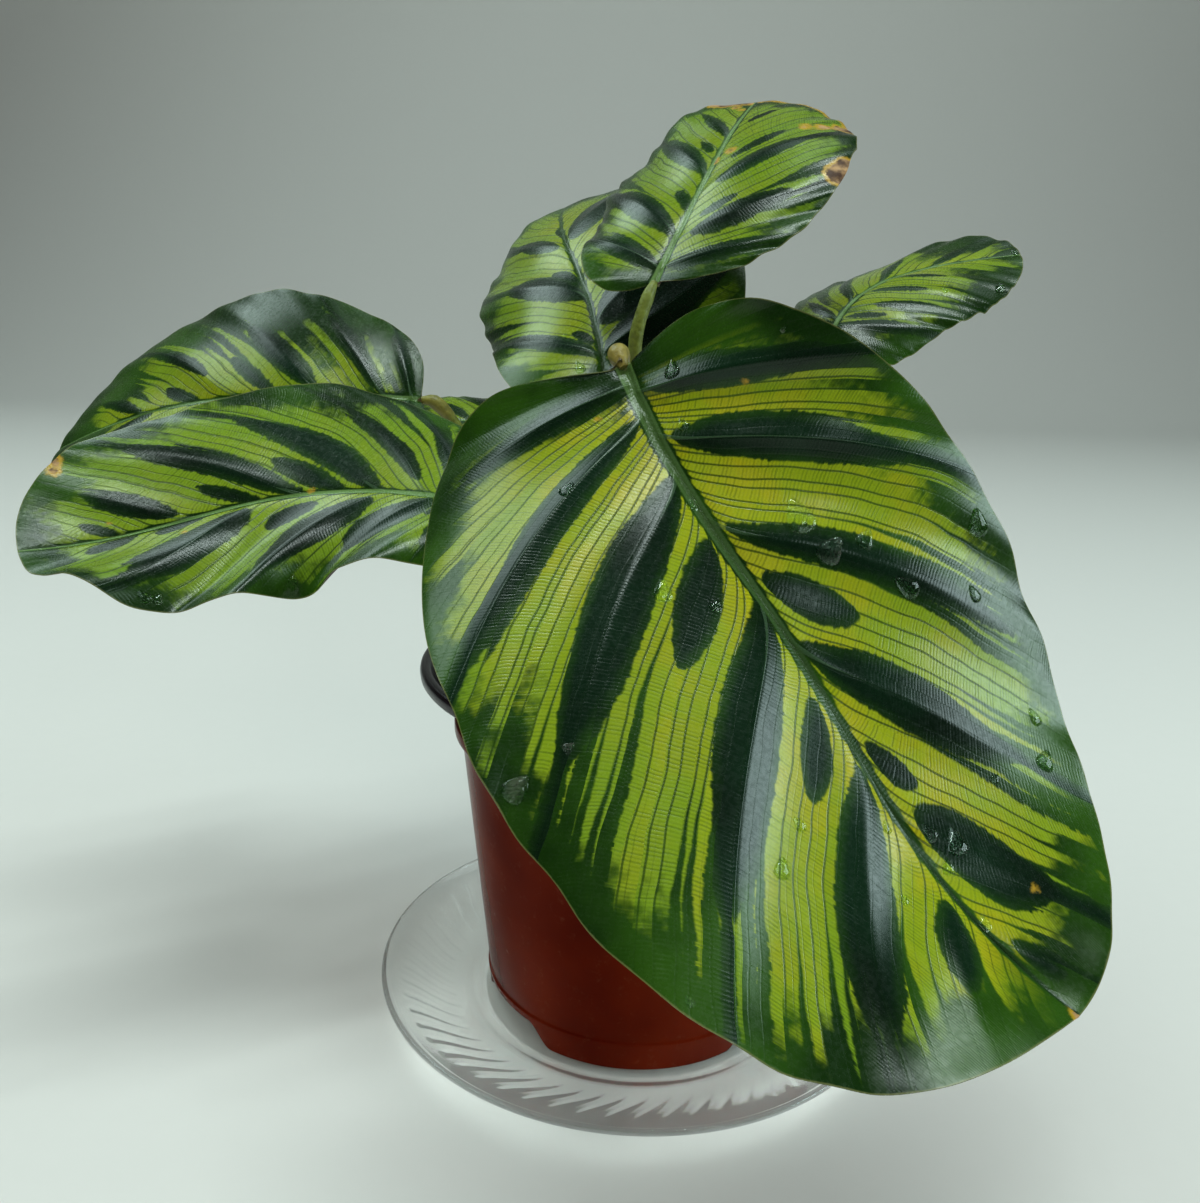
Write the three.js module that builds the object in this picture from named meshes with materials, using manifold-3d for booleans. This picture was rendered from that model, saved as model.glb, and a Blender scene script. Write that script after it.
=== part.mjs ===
// A potted peacock plant. Seven patterned leaves stand on long stalks in a dark grow pot,
// which sits in a terracotta-coloured outer pot on a clear ribbed plate.
// Millimetres, +Z up. The origin is the centre of the plate's underside, and -Y is the front.
import * as THREE from "three";
import { mergeVertices } from "three/addons/utils/BufferGeometryUtils.js";
import Module from "manifold-3d";

const manifoldLibrary = await Module();
manifoldLibrary.setup();

const { sin, cos, min, max, PI } = Math;
const radians = THREE.MathUtils.degToRad;
const mix = THREE.MathUtils.lerp;

// Pieces that touch keep this much air between them
const GAP = 0.3;

// The clear plate
const PLATE_RADIUS = 95;
const PLATE_HEIGHT = 13.6;
const PLATE_THICKNESS = 2.2;
const WELL_RADIUS = 59;
const RIB_COUNT = 60;
const RIB_HEIGHT = 0.7;
const RIB_INNER_RADIUS = 67;
const RIB_OUTER_RADIUS = 88;
const RIB_SWEEP = 9;

// The outer pot
const POT_SIDES = 60;
const POT_FOOT_RADIUS = 54;
const POT_TAPER = 0.109;
const POT_WALL = 1.8;
const POT_TOP = 112;
const POT_FLOOR_LIFT = 9.2;
const POT_LIP = 1.4;
const FOOT_HEIGHT = 10.7;
const FOOT_STEP = 0.5;
const FOOT_NOTCHES = 3;
const FOOT_NOTCH_WIDTH = 46;
const FOOT_NOTCH_HEIGHT = 8;
const FOOT_NOTCH_TURN = -148;

// The grow pot inside it
const GROW_FOOT_RADIUS = 49;
const GROW_WALL = 1.4;
const GROW_COLLAR_RADIUS = 73;
const GROW_RIM_RADIUS = 79;
const GROW_TOP = 132.5;
const GROW_RIM_HEIGHT = 5;

// The soil and the holes that the stalks stand in
const SOIL_TOP = 121;
const SOIL_MOUND = 2.5;
const STALK_DEPTH = 14;
const HOLE_CLEARANCE = 0.5;

// Leaves and stalks
const BLADE_THICKNESS = 0.8;
const STALK_SIDES = 8;
const STALK_STEPS = 16;
const STALK_FOOT_RADIUS = 3.2;
const STALK_TOP_RADIUS = 2.1;
const JOINT_RADIUS = 3.3;
const JOINT_LENGTH = 13;
const JOINT_TIP_RADIUS = 1.1;
const JOINT_TIP_GAP = 0.7;

// Each blade starts at its base, where the stalk joins it, and its midrib is a curve of a
// given length. Azimuth and elevation are the midrib's direction in degrees at even steps from
// base to tip, and roll turns the blade about the midrib. Left and right are the two halves, as
// seen from base to tip: width is a half's greatest width, lobe how far it reaches back past
// the base, as a share of the length, skew and blunt shape the outline, fold lifts the half
// from the midrib and curl bends it, both in degrees, and wave is its edge's rise in
// millimetres, the number of waves and where they start. The stalk's points lead from the soil
// to the blade.
const leaves = [
  {
    name: "front", detail: [22, 8], base: [-12, -74, 239], length: 191,
    azimuth: [-61, -38, -36, -47], elevation: [-46, -45, -50, -15], roll: [-44, -25, -8],
    left: { width: 70, lobe: 0.03, skew: 0.98, blunt: [0.83, 1.05], fold: [20, 10, 10],
      curl: -7, wave: [0.5, 3, 0] },
    right: { width: 82, lobe: 0.09, skew: 0.95, blunt: [0.76, 0.78], fold: [10, 6, 10],
      curl: -26, wave: [3.5, 3.2, 0.1] },
    root: [-4, -15], stalk: [[-7, -34, 196], [-11, -54, 235], [-13, -63, 243.5]],
  },
  {
    name: "left", detail: [20, 5], base: [-52, -37, 193], length: 151,
    azimuth: [151, 173, 200, 212], elevation: [6, -5, -14, 1], roll: [23, 40, 28],
    left: { width: 40, lobe: 0.08, skew: 1, blunt: [0.66, 0.87], fold: [6, 23],
      curl: -22, wave: [5.5, 4, 0] },
    right: { width: 46, lobe: 0.05, skew: 1, blunt: [0.72, 0.79], fold: [5, 23],
      curl: -19, wave: [2.9, 2.9, 0] },
    root: [-17, -9], stalk: [[-27, -24, 155], [-37, -37, 182]],
  },
  {
    name: "back_left", detail: [14, 5], base: [-83, 28, 218], length: 150,
    azimuth: [194, 165, 166], elevation: [5, -9, -27], roll: [41, 48, 31],
    left: { width: 44, lobe: 0.06, skew: 1, blunt: [0.75, 0.85], fold: [12, 8],
      curl: -25, wave: [0.5, 3, 0] },
    right: { width: 49, lobe: 0.03, skew: 1, blunt: [0.77, 0.85], fold: [13, 8],
      curl: -21, wave: [0.9, 3, 0] },
    root: [-18, 7], stalk: [[-42, 18, 158], [-63, 28, 194], [-70, 30, 208.5]],
  },
  {
    name: "centre", detail: [14, 5], base: [-17, 12, 228], length: 135,
    azimuth: [104, 104, 86], elevation: [52, 24, 15], roll: [15, 29, 22],
    left: { width: 45, lobe: 0.1, skew: 0.99, blunt: [0.75, 0.85], fold: [8, 1],
      curl: -41, wave: [-2, 3, 0] },
    right: { width: 62, lobe: 0.12, skew: 0.98, blunt: [0.73, 0.84], fold: [11, 4],
      curl: -26, wave: [0.5, 3, 0] },
    root: [-6, 14], stalk: [[-10, 8, 180], [-14, 5, 210]],
  },
  {
    name: "top", detail: [14, 5], base: [-3, -26, 261], length: 98,
    azimuth: [55, 63, 68], elevation: [50, 40, 22], roll: [-8, 10, 0],
    left: { width: 40, lobe: 0.12, skew: 1.03, blunt: [1.02, 0.8], fold: [17, 3],
      curl: -34, wave: [2, 3, -0.3] },
    right: { width: 45, lobe: -0.01, skew: 1.01, blunt: [0.77, 0.86], fold: [16, 4],
      curl: -41, wave: [0.5, 3, 0.5] },
    root: [3, -1], stalk: [[-4, -16, 190], [-8, -28, 235], [-8, -30, 246]],
  },
  {
    name: "back_right", detail: [14, 5], base: [58.5, 13.5, 244.5], length: 98,
    azimuth: [66, 30, -6], elevation: [37, 15, 7], roll: [0, -6, -27],
    left: { width: 31, lobe: 0.06, skew: 1, blunt: [0.75, 0.91], fold: [-6, 11],
      curl: -27, wave: [1.2, 3, 0] },
    right: { width: 36, lobe: 0.1, skew: 0.98, blunt: [0.68, 0.91], fold: [-9, 8],
      curl: -31, wave: [0.6, 3, 0] },
    root: [14, 6], stalk: [[34, 2, 180], [50, 2, 228]],
  },
  {
    name: "young", detail: [10, 4], base: [-46, 50, 205], length: 45,
    azimuth: [178, 181, 184], elevation: [12, 4, -8], roll: [36, 36, 36],
    left: { width: 16, lobe: 0.06, skew: 1, blunt: [0.75, 0.85], fold: [12, 8],
      curl: -25, wave: [0, 3, 0] },
    right: { width: 20, lobe: 0.05, skew: 1, blunt: [0.75, 0.85], fold: [6, 4],
      curl: -40, wave: [0, 3, 0] },
    root: [-14, 24], stalk: [[-24, 38, 175], [-32, 46, 195]],
  },
];

// Surfaces of each kind of piece
const finishes = {
  plate: { color: "#e9ecec", roughness: 0.05, metalness: 0, opacity: 0.35, transparent: true },
  outerPot: { color: "#8c2f14", roughness: 0.35, metalness: 0 },
  growPot: { color: "#1b1518", roughness: 0.4, metalness: 0 },
  soil: { color: "#2b1d14", roughness: 0.95, metalness: 0 },
  blade: { color: "#4b7324", roughness: 0.35, metalness: 0, side: THREE.DoubleSide },
  stalk: { color: "#8f9a3c", roughness: 0.45, metalness: 0 },
};

const plant = new THREE.Group();

function addPiece(name, geometry, finish) {
  geometry.computeVertexNormals();
  const mesh = new THREE.Mesh(geometry, new THREE.MeshStandardMaterial(finish));
  mesh.name = name;
  plant.add(mesh);
}

// A geometry from a list of points and a list of triangles, turned to face outward
function closedGeometry(points, triangles) {
  let volume = 0;
  for (const [a, b, c] of triangles) {
    volume += points[a].dot(new THREE.Vector3().crossVectors(points[b], points[c]));
  }
  const facing = volume > 0 ? triangles : triangles.map(([a, b, c]) => [a, c, b]);
  const geometry = new THREE.BufferGeometry();
  geometry.setAttribute(
    "position",
    new THREE.Float32BufferAttribute(points.flatMap((p) => [p.x, p.y, p.z]), 3),
  );
  geometry.setIndex(facing.flat());
  return geometry;
}

// A three.js solid with its doubled corners merged and its empty triangles left out
function mergedGeometry(source) {
  const bare = source.clone();
  bare.deleteAttribute("normal");
  bare.deleteAttribute("uv");
  const merged = mergeVertices(bare, 1e-4);
  const place = merged.getAttribute("position");
  const points = [];
  for (let i = 0; i < place.count; i += 1) {
    points.push(new THREE.Vector3().fromBufferAttribute(place, i));
  }
  const index = merged.getIndex().array;
  const triangles = [];
  for (let i = 0; i < index.length; i += 3) {
    const [a, b, c] = index.slice(i, i + 3);
    if (a !== b && b !== c && c !== a) {
      triangles.push([a, b, c]);
    }
  }
  return closedGeometry(points, triangles);
}

// A profile of [radius, height] pairs turned about the vertical axis
function turned(profile, sides) {
  const outline = profile.map(([radius, height]) => new THREE.Vector2(radius, height));
  return mergedGeometry(new THREE.LatheGeometry(outline, sides).rotateX(PI / 2));
}

function toManifold(geometry) {
  return new manifoldLibrary.Manifold(
    new manifoldLibrary.Mesh({
      numProp: 3,
      vertProperties: new Float32Array(geometry.getAttribute("position").array),
      triVerts: new Uint32Array(geometry.getIndex().array),
    }),
  );
}

function fromManifold(solid) {
  const { vertProperties, triVerts } = solid.getMesh();
  const geometry = new THREE.BufferGeometry();
  geometry.setAttribute("position", new THREE.BufferAttribute(vertProperties, 3));
  geometry.setIndex(new THREE.BufferAttribute(triVerts, 1));
  return geometry;
}

function cut(geometry, tools) {
  let solid = toManifold(geometry);
  for (const tool of tools) {
    solid = solid.subtract(toManifold(mergedGeometry(tool)));
  }
  return fromManifold(solid);
}

// A smooth run through values spaced evenly from 0 to 1
function along(values, t) {
  const last = values.length - 1;
  const place = THREE.MathUtils.clamp(t, 0, 1) * last;
  const i = min(Math.floor(place), last - 1);
  const f = place - i;
  const b = values[i];
  const c = values[i + 1];
  const a = i > 0 ? values[i - 1] : 2 * b - c;
  const d = i + 2 <= last ? values[i + 2] : 2 * c - b;
  return 0.5 * (2 * b + (c - a) * f + (2 * a - 5 * b + 4 * c - d) * f * f
    + (3 * b - a - 3 * c + d) * f ** 3);
}

// The blade's directions at a share of its length: along the midrib, to its right, and out of
// its upper face
function bladeFrame(leaf, t) {
  const azimuth = radians(along(leaf.azimuth, t));
  const elevation = radians(along(leaf.elevation, t));
  const roll = radians(along(leaf.roll, t));
  const ahead = new THREE.Vector3(
    cos(elevation) * cos(azimuth), cos(elevation) * sin(azimuth), sin(elevation),
  );
  const right = new THREE.Vector3(sin(azimuth), -cos(azimuth), 0);
  const up = new THREE.Vector3().crossVectors(right, ahead);
  right.applyAxisAngle(ahead, -roll);
  up.applyAxisAngle(ahead, -roll);
  return { ahead, right, up };
}

// Points along the midrib, from the base
const MIDRIB_STEPS = 96;
function midribPoints(leaf) {
  const step = leaf.length / MIDRIB_STEPS;
  const points = [new THREE.Vector3(...leaf.base)];
  for (let i = 0; i < MIDRIB_STEPS; i += 1) {
    const { ahead } = bladeFrame(leaf, (i + 0.5) / MIDRIB_STEPS);
    points.push(points[i].clone().addScaledVector(ahead, step));
  }
  return points;
}

function midribAt(leaf, points, t) {
  const place = THREE.MathUtils.clamp(t, 0, 1) * MIDRIB_STEPS;
  const i = min(Math.floor(place), MIDRIB_STEPS - 1);
  const point = points[i].clone().lerp(points[i + 1], place - i);
  point.addScaledVector(bladeFrame(leaf, 0).ahead, min(t, 0) * leaf.length);
  point.addScaledVector(bladeFrame(leaf, 1).ahead, max(t - 1, 0) * leaf.length);
  return point;
}

// Where a point of the flat blade lies: across is its distance from the midrib and reach its
// place along the midrib, as a share of the length. Row runs from 0 at the base to 1 at the
// tip, and share from 0 at the midrib to 1 at the edge.
const LOBE_END = 0.34;
const ROW_START = 1.3;
function flatPoint(leaf, half, row, share) {
  const blunt = mix(half.blunt[0], half.blunt[1], row);
  const across = half.width * max(sin(PI * row ** half.skew), 0) ** blunt;
  const edge = (1 - cos(PI * row)) / 2 - half.lobe * sin(PI * min(row / LOBE_END, 1));
  const start = row ** ROW_START;
  return { across: across * share, reach: mix(start, edge, share) };
}

// The same point in space, folded, curled and waved
function bladePoint(leaf, midrib, row, column) {
  const share = Math.abs(column);
  const side = column < 0 ? -1 : 1;
  const half = column < 0 ? leaf.left : leaf.right;
  const { across, reach } = flatPoint(leaf, half, row, share);
  const { right, up } = bladeFrame(leaf, reach);
  const fold = radians(along(half.fold, reach));
  const bend = radians(half.curl) * (across / half.width);
  const chord = Math.abs(bend) > 1e-6 ? across * sin(bend / 2) / (bend / 2) : across;
  const [rise, waves, phase] = half.wave;
  const wave = rise * share ** 2 * sin(2 * PI * (waves * row + phase))
    * sin(PI * row) ** 0.5;
  return midribAt(leaf, midrib, reach)
    .addScaledVector(right, side * (chord * cos(fold + bend / 2) - wave * sin(fold + bend)))
    .addScaledVector(up, chord * sin(fold + bend / 2) + wave * cos(fold + bend));
}

// A blade: one sheet of points from the left edge over the midrib to the right edge, in rows
// from base to tip, made into an upper and a lower face with the same triangles
function bladeGeometry(leaf) {
  const [rows, half] = leaf.detail;
  const midrib = midribPoints(leaf);
  const sheet = [];
  const grid = [];
  for (let i = 0; i <= rows; i += 1) {
    const ends = i === 0 || i === rows;
    const row = mix(i / rows, THREE.MathUtils.smoothstep(i / rows, 0, 1), 0.4);
    const line = [];
    for (let j = -half; j <= half; j += 1) {
      if (!ends || j === -half) {
        sheet.push(ends
          ? midribAt(leaf, midrib, row)
          : bladePoint(leaf, midrib, row, j / half));
      }
      line.push(sheet.length - 1);
    }
    grid.push(line);
  }
  const faces = [];
  for (let i = 0; i < rows; i += 1) {
    for (let j = 0; j < 2 * half; j += 1) {
      const [a, b, c, d] = [grid[i][j], grid[i][j + 1], grid[i + 1][j + 1], grid[i + 1][j]];
      if (a === b) {
        faces.push([a, c, d]);
      } else if (c === d) {
        faces.push([a, b, c]);
      } else if (j < half) {
        faces.push([a, b, d], [b, c, d]);
      } else {
        faces.push([a, b, c], [a, c, d]);
      }
    }
  }
  const middle = new THREE.BufferGeometry().setFromPoints(sheet);
  middle.setIndex(faces.flat());
  middle.computeVertexNormals();
  const normals = middle.getAttribute("normal");
  const points = [];
  for (const offset of [BLADE_THICKNESS / 2, -BLADE_THICKNESS / 2]) {
    sheet.forEach((point, i) => {
      const normal = new THREE.Vector3().fromBufferAttribute(normals, i);
      points.push(point.clone().addScaledVector(normal, offset));
    });
  }
  const under = sheet.length;
  const triangles = [];
  for (const [a, b, c] of faces) {
    triangles.push([a, b, c], [a + under, c + under, b + under]);
  }
  const edge = [];
  for (let i = 0; i <= rows; i += 1) {
    edge.push(grid[i][0]);
  }
  for (let i = rows - 1; i > 0; i -= 1) {
    edge.push(grid[i][2 * half]);
  }
  edge.forEach((a, i) => {
    const b = edge[(i + 1) % edge.length];
    triangles.push([a, b, b + under], [a, b + under, a + under]);
  });
  return closedGeometry(points, triangles);
}

// A stalk: rings round a smooth path from the soil to the blade's base, thicker at its foot
// and at the joint that carries the blade
function stalkGeometry(leaf) {
  const { ahead } = bladeFrame(leaf, 0);
  const base = new THREE.Vector3(...leaf.base);
  const [x, y] = leaf.root;
  const path = new THREE.CatmullRomCurve3([
    new THREE.Vector3(x, y, SOIL_TOP - STALK_DEPTH),
    new THREE.Vector3(x, y, SOIL_TOP),
    new THREE.Vector3(x, y, SOIL_TOP + 10),
    ...leaf.stalk.map((point) => new THREE.Vector3(...point)),
    base.clone().addScaledVector(ahead, -6),
    base.clone().addScaledVector(ahead, -JOINT_TIP_GAP),
  ], false, "centripetal");
  const length = path.getLength();
  const places = [];
  for (let i = 0; i <= STALK_STEPS; i += 1) {
    places.push(i / STALK_STEPS * (1 - JOINT_LENGTH / length));
  }
  for (const share of [0.3, 0.6, 0.85, 1]) {
    places.push(1 - (1 - share) * JOINT_LENGTH / length);
  }
  const points = [];
  let normal = new THREE.Vector3(1, 0, 0);
  for (const place of places) {
    const centre = path.getPointAt(place);
    const tangent = path.getTangentAt(place);
    normal = normal.addScaledVector(tangent, -normal.dot(tangent)).normalize();
    const binormal = new THREE.Vector3().crossVectors(tangent, normal);
    const toTip = (1 - place) * length;
    const slim = mix(STALK_TOP_RADIUS, STALK_FOOT_RADIUS, (1 - place) ** 2);
    const swell = sin(PI * min(toTip / JOINT_LENGTH, 1)) ** 0.7;
    const joint = (JOINT_RADIUS - STALK_TOP_RADIUS) * swell;
    const taper = min(toTip / (0.4 * JOINT_LENGTH), 1);
    const radius = mix(JOINT_TIP_RADIUS, slim + joint, taper);
    for (let j = 0; j < STALK_SIDES; j += 1) {
      const turn = 2 * PI * j / STALK_SIDES;
      points.push(centre.clone()
        .addScaledVector(normal, radius * cos(turn))
        .addScaledVector(binormal, radius * sin(turn)));
    }
  }
  const triangles = [];
  for (let i = 0; i < places.length - 1; i += 1) {
    for (let j = 0; j < STALK_SIDES; j += 1) {
      const a = i * STALK_SIDES + j;
      const b = i * STALK_SIDES + (j + 1) % STALK_SIDES;
      triangles.push([a, b, b + STALK_SIDES], [a, b + STALK_SIDES, a + STALK_SIDES]);
    }
  }
  const lastRing = (places.length - 1) * STALK_SIDES;
  for (let j = 1; j < STALK_SIDES - 1; j += 1) {
    triangles.push([0, j + 1, j], [lastRing, lastRing + j, lastRing + j + 1]);
  }
  return closedGeometry(points, triangles);
}

// The plate: a flat floor, a raised well edge and a rising band with S-shaped ribs in its
// upper face. Each rib is one raised line of corners between two low ones. A station of the
// profile is a radius, a height and the share of the ribs' sweep that it is turned by.
function plateGeometry() {
  const bandFoot = WELL_RADIUS + 5;
  const bandTop = PLATE_RADIUS - 3;
  const bandHeight = (radius) => mix(
    PLATE_THICKNESS + 1.2, PLATE_HEIGHT - 1.6, (radius - bandFoot) / (bandTop - bandFoot),
  );
  const profile = [
    [WELL_RADIUS - 2, 0, 0],
    [WELL_RADIUS + 3, 0.6, 0],
    [bandTop, bandHeight(bandTop) - PLATE_THICKNESS, 0],
    [PLATE_RADIUS, PLATE_HEIGHT - 1.8, 0],
    [PLATE_RADIUS, PLATE_HEIGHT - 0.5, 0],
    [PLATE_RADIUS - 0.6, PLATE_HEIGHT, 0],
    [PLATE_RADIUS - 1.6, PLATE_HEIGHT, 0],
    [bandTop, bandHeight(bandTop), 0],
    ...[0, 0.2, 0.5, 0.8, 1].map((share) => {
      const radius = mix(RIB_OUTER_RADIUS, RIB_INNER_RADIUS, share);
      return [radius, bandHeight(radius), THREE.MathUtils.smoothstep(share, 0, 1)];
    }),
    [bandFoot, bandHeight(bandFoot), 1],
    [WELL_RADIUS + 1, PLATE_THICKNESS + 1.4, 1],
    [WELL_RADIUS - 0.5, PLATE_THICKNESS + 1, 1],
    [WELL_RADIUS - 2, PLATE_THICKNESS, 1],
  ];
  const sides = 2 * RIB_COUNT;
  const points = [new THREE.Vector3(0, 0, 0)];
  for (const [radius, height, sweep] of profile) {
    const ribbed = sweep > 0 && sweep < 1;
    for (let i = 0; i < sides; i += 1) {
      const turn = 2 * PI * i / sides + radians(RIB_SWEEP) * sweep;
      const lift = ribbed && i % 2 === 0 ? RIB_HEIGHT : 0;
      points.push(new THREE.Vector3(radius * cos(turn), radius * sin(turn), height + lift));
    }
  }
  points.push(new THREE.Vector3(0, 0, PLATE_THICKNESS));
  const top = points.length - 1;
  const rim = 1 + (profile.length - 1) * sides;
  const triangles = [];
  for (let i = 0; i < sides; i += 1) {
    const next = (i + 1) % sides;
    triangles.push([0, 1 + next, 1 + i]);
    for (let k = 0; k < profile.length - 1; k += 1) {
      const a = 1 + k * sides;
      const b = a + sides;
      triangles.push([a + i, a + next, b + next], [a + i, b + next, b + i]);
    }
    triangles.push([rim + i, rim + next, top]);
  }
  return closedGeometry(points, triangles);
}

// The outer pot: a skirt with wide notches under a lifted floor, a plain tapered wall that
// steps in a little above the skirt, and a small lip
const potFoot = PLATE_THICKNESS + GAP;
const potRadius = (height) => POT_FOOT_RADIUS + POT_TAPER * (height - potFoot);
const potFloor = potFoot + POT_FLOOR_LIFT;
function outerPotGeometry() {
  const floorTop = potFloor + POT_WALL;
  const skirtTop = potFoot + FOOT_HEIGHT;
  const inner = (height) => potRadius(height) - POT_WALL - FOOT_STEP;
  const pot = turned([
    [0, potFloor],
    [POT_FOOT_RADIUS - POT_WALL, potFloor],
    [POT_FOOT_RADIUS - POT_WALL, potFoot],
    [POT_FOOT_RADIUS - 0.5, potFoot],
    [POT_FOOT_RADIUS, potFoot + 0.6],
    [potRadius(skirtTop), skirtTop],
    [potRadius(skirtTop) - FOOT_STEP, skirtTop + 0.7],
    [potRadius(POT_TOP - 6) - FOOT_STEP, POT_TOP - 6],
    [potRadius(POT_TOP) + POT_LIP, POT_TOP - 4.5],
    [potRadius(POT_TOP) + POT_LIP, POT_TOP - 0.8],
    [potRadius(POT_TOP) + POT_LIP - 0.8, POT_TOP],
    [inner(POT_TOP) + 0.6, POT_TOP],
    [inner(POT_TOP - 1), POT_TOP - 1],
    [inner(floorTop + 3), floorTop + 3],
    [inner(floorTop) - 2, floorTop],
    [0, floorTop],
  ], POT_SIDES);
  const arch = new THREE.Shape();
  const halfWidth = FOOT_NOTCH_WIDTH / 2;
  arch.moveTo(-halfWidth, -1);
  arch.lineTo(halfWidth, -1);
  arch.quadraticCurveTo(0.9 * halfWidth, FOOT_NOTCH_HEIGHT, 0.5 * halfWidth, FOOT_NOTCH_HEIGHT);
  arch.lineTo(-0.5 * halfWidth, FOOT_NOTCH_HEIGHT);
  arch.quadraticCurveTo(-0.9 * halfWidth, FOOT_NOTCH_HEIGHT, -halfWidth, -1);
  const reach = 20;
  const notches = [];
  for (let i = 0; i < FOOT_NOTCHES; i += 1) {
    const notch = new THREE.ExtrudeGeometry(
      arch, { depth: reach, bevelEnabled: false, curveSegments: 4 },
    );
    notch.rotateX(PI / 2).translate(0, -(POT_FOOT_RADIUS - reach / 2), potFoot);
    notch.rotateZ(radians(FOOT_NOTCH_TURN + 90 + 360 * i / FOOT_NOTCHES));
    notches.push(notch);
  }
  return cut(pot, notches);
}

// The grow pot stands on the outer pot's floor and its flared collar and rim rise above the lip
const growFoot = potFloor + POT_WALL + GAP;
const growNeck = POT_TOP - 4;
const growNeckRadius = potRadius(growNeck) - POT_WALL - FOOT_STEP - 0.6;
const growCollarTop = GROW_TOP - GROW_RIM_HEIGHT - 1;
function growPotGeometry() {
  return turned([
    [0, growFoot],
    [GROW_FOOT_RADIUS - 1, growFoot],
    [GROW_FOOT_RADIUS, growFoot + 1],
    [growNeckRadius, growNeck],
    [growNeckRadius, POT_TOP + 1],
    [GROW_COLLAR_RADIUS, growCollarTop],
    [GROW_RIM_RADIUS - 1.5, GROW_TOP - GROW_RIM_HEIGHT],
    [GROW_RIM_RADIUS - 0.3, GROW_TOP - GROW_RIM_HEIGHT + 1.2],
    [GROW_RIM_RADIUS, GROW_TOP - 1.5],
    [GROW_RIM_RADIUS - 1, GROW_TOP],
    [GROW_RIM_RADIUS - 3.5, GROW_TOP],
    [GROW_COLLAR_RADIUS - GROW_WALL + 1, growCollarTop + 1],
    [growNeckRadius - GROW_WALL, POT_TOP + 1 + GROW_WALL],
    [growNeckRadius - GROW_WALL, growNeck],
    [GROW_FOOT_RADIUS - GROW_WALL, growFoot + GROW_WALL],
    [0, growFoot + GROW_WALL],
  ], POT_SIDES);
}

// The soil fills the grow pot and is a little mounded, with a plain hole for each stalk
function soilGeometry() {
  const inset = GROW_WALL + GAP;
  const rise = (SOIL_TOP - POT_TOP - 1) / (growCollarTop - POT_TOP - 1);
  const topRadius = mix(growNeckRadius, GROW_COLLAR_RADIUS, rise) - inset - 0.6;
  const edgeDrop = 2;
  const soil = turned([
    [0, growFoot + inset],
    [GROW_FOOT_RADIUS - inset - 1, growFoot + inset],
    [growNeckRadius - inset - 0.3, growNeck],
    [growNeckRadius - inset - 0.3, POT_TOP + 2],
    [topRadius - 1.5, SOIL_TOP - edgeDrop],
    [0.7 * topRadius, SOIL_TOP],
    [0.5 * topRadius, SOIL_TOP + 0.5 * SOIL_MOUND],
    [0.25 * topRadius, SOIL_TOP + SOIL_MOUND],
    [0, SOIL_TOP + SOIL_MOUND],
  ], 48);
  const depth = STALK_DEPTH + GAP;
  const above = 2 * SOIL_MOUND;
  const holes = leaves.map(({ root: [x, y] }) => new THREE.CylinderGeometry(
    STALK_FOOT_RADIUS + HOLE_CLEARANCE, STALK_FOOT_RADIUS + HOLE_CLEARANCE, depth + above, 12,
  ).rotateX(PI / 2).translate(x, y, SOIL_TOP + (above - depth) / 2));
  return cut(soil, holes);
}

addPiece("plate", plateGeometry(), finishes.plate);
addPiece("outer_pot", outerPotGeometry(), finishes.outerPot);
addPiece("grow_pot", growPotGeometry(), finishes.growPot);
addPiece("soil", soilGeometry(), finishes.soil);
for (const leaf of leaves) {
  addPiece(`stalk_${leaf.name}`, stalkGeometry(leaf), finishes.stalk);
  addPiece(`blade_${leaf.name}`, bladeGeometry(leaf), finishes.blade);
}

export default plant;
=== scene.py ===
"""The looks of a potted peacock plant: seven patterned leaves on long stalks, in a dark grow pot
inside a terracotta-coloured outer pot, on a clear ribbed plate. Sizes are in millimetres and
become metres where a mesh is made."""
from math import cos, pi, radians, sin

import bpy
import numpy as np
from mathutils import Matrix, Vector
from mathutils.bvhtree import BVHTree


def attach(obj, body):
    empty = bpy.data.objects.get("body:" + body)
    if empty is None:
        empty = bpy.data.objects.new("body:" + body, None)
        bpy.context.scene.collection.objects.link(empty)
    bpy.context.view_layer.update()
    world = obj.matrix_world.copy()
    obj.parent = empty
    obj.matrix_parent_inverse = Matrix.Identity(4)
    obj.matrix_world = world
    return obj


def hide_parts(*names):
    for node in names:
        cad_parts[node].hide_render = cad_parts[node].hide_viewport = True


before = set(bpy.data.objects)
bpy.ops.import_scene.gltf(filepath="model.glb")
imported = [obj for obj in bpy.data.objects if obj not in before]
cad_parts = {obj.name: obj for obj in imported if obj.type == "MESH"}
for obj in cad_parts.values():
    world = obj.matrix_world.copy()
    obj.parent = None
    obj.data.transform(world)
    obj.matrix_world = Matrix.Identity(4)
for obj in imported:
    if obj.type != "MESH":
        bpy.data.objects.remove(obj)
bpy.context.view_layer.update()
MM = 0.001

# The camera: a phone's wide lens at arm's length, in front of the plant and a little above its
# leaves, tipped down and turned slightly about its own axis.
PHOTO_WIDTH = 1200
PHOTO_HEIGHT = 1203
FOCAL_PIXELS = 1109
CAMERA_PLACE = Vector((-16.6, -373.0, 261.4)) * MM
CAMERA_TIP = radians(16.2)
CAMERA_TURN = radians(1.7)

lens = bpy.data.cameras.new("camera")
lens.sensor_width = 36
lens.lens = lens.sensor_width * FOCAL_PIXELS / PHOTO_HEIGHT
lens.clip_start = 0.01
camera = bpy.data.objects.new("camera", lens)
camera.matrix_world = (
    Matrix.Translation(CAMERA_PLACE)
    @ Matrix.Rotation(pi / 2 - CAMERA_TIP, 4, "X")
    @ Matrix.Rotation(CAMERA_TURN, 4, "Z")
)
bpy.context.collection.objects.link(camera)
bpy.context.scene.camera = camera


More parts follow.
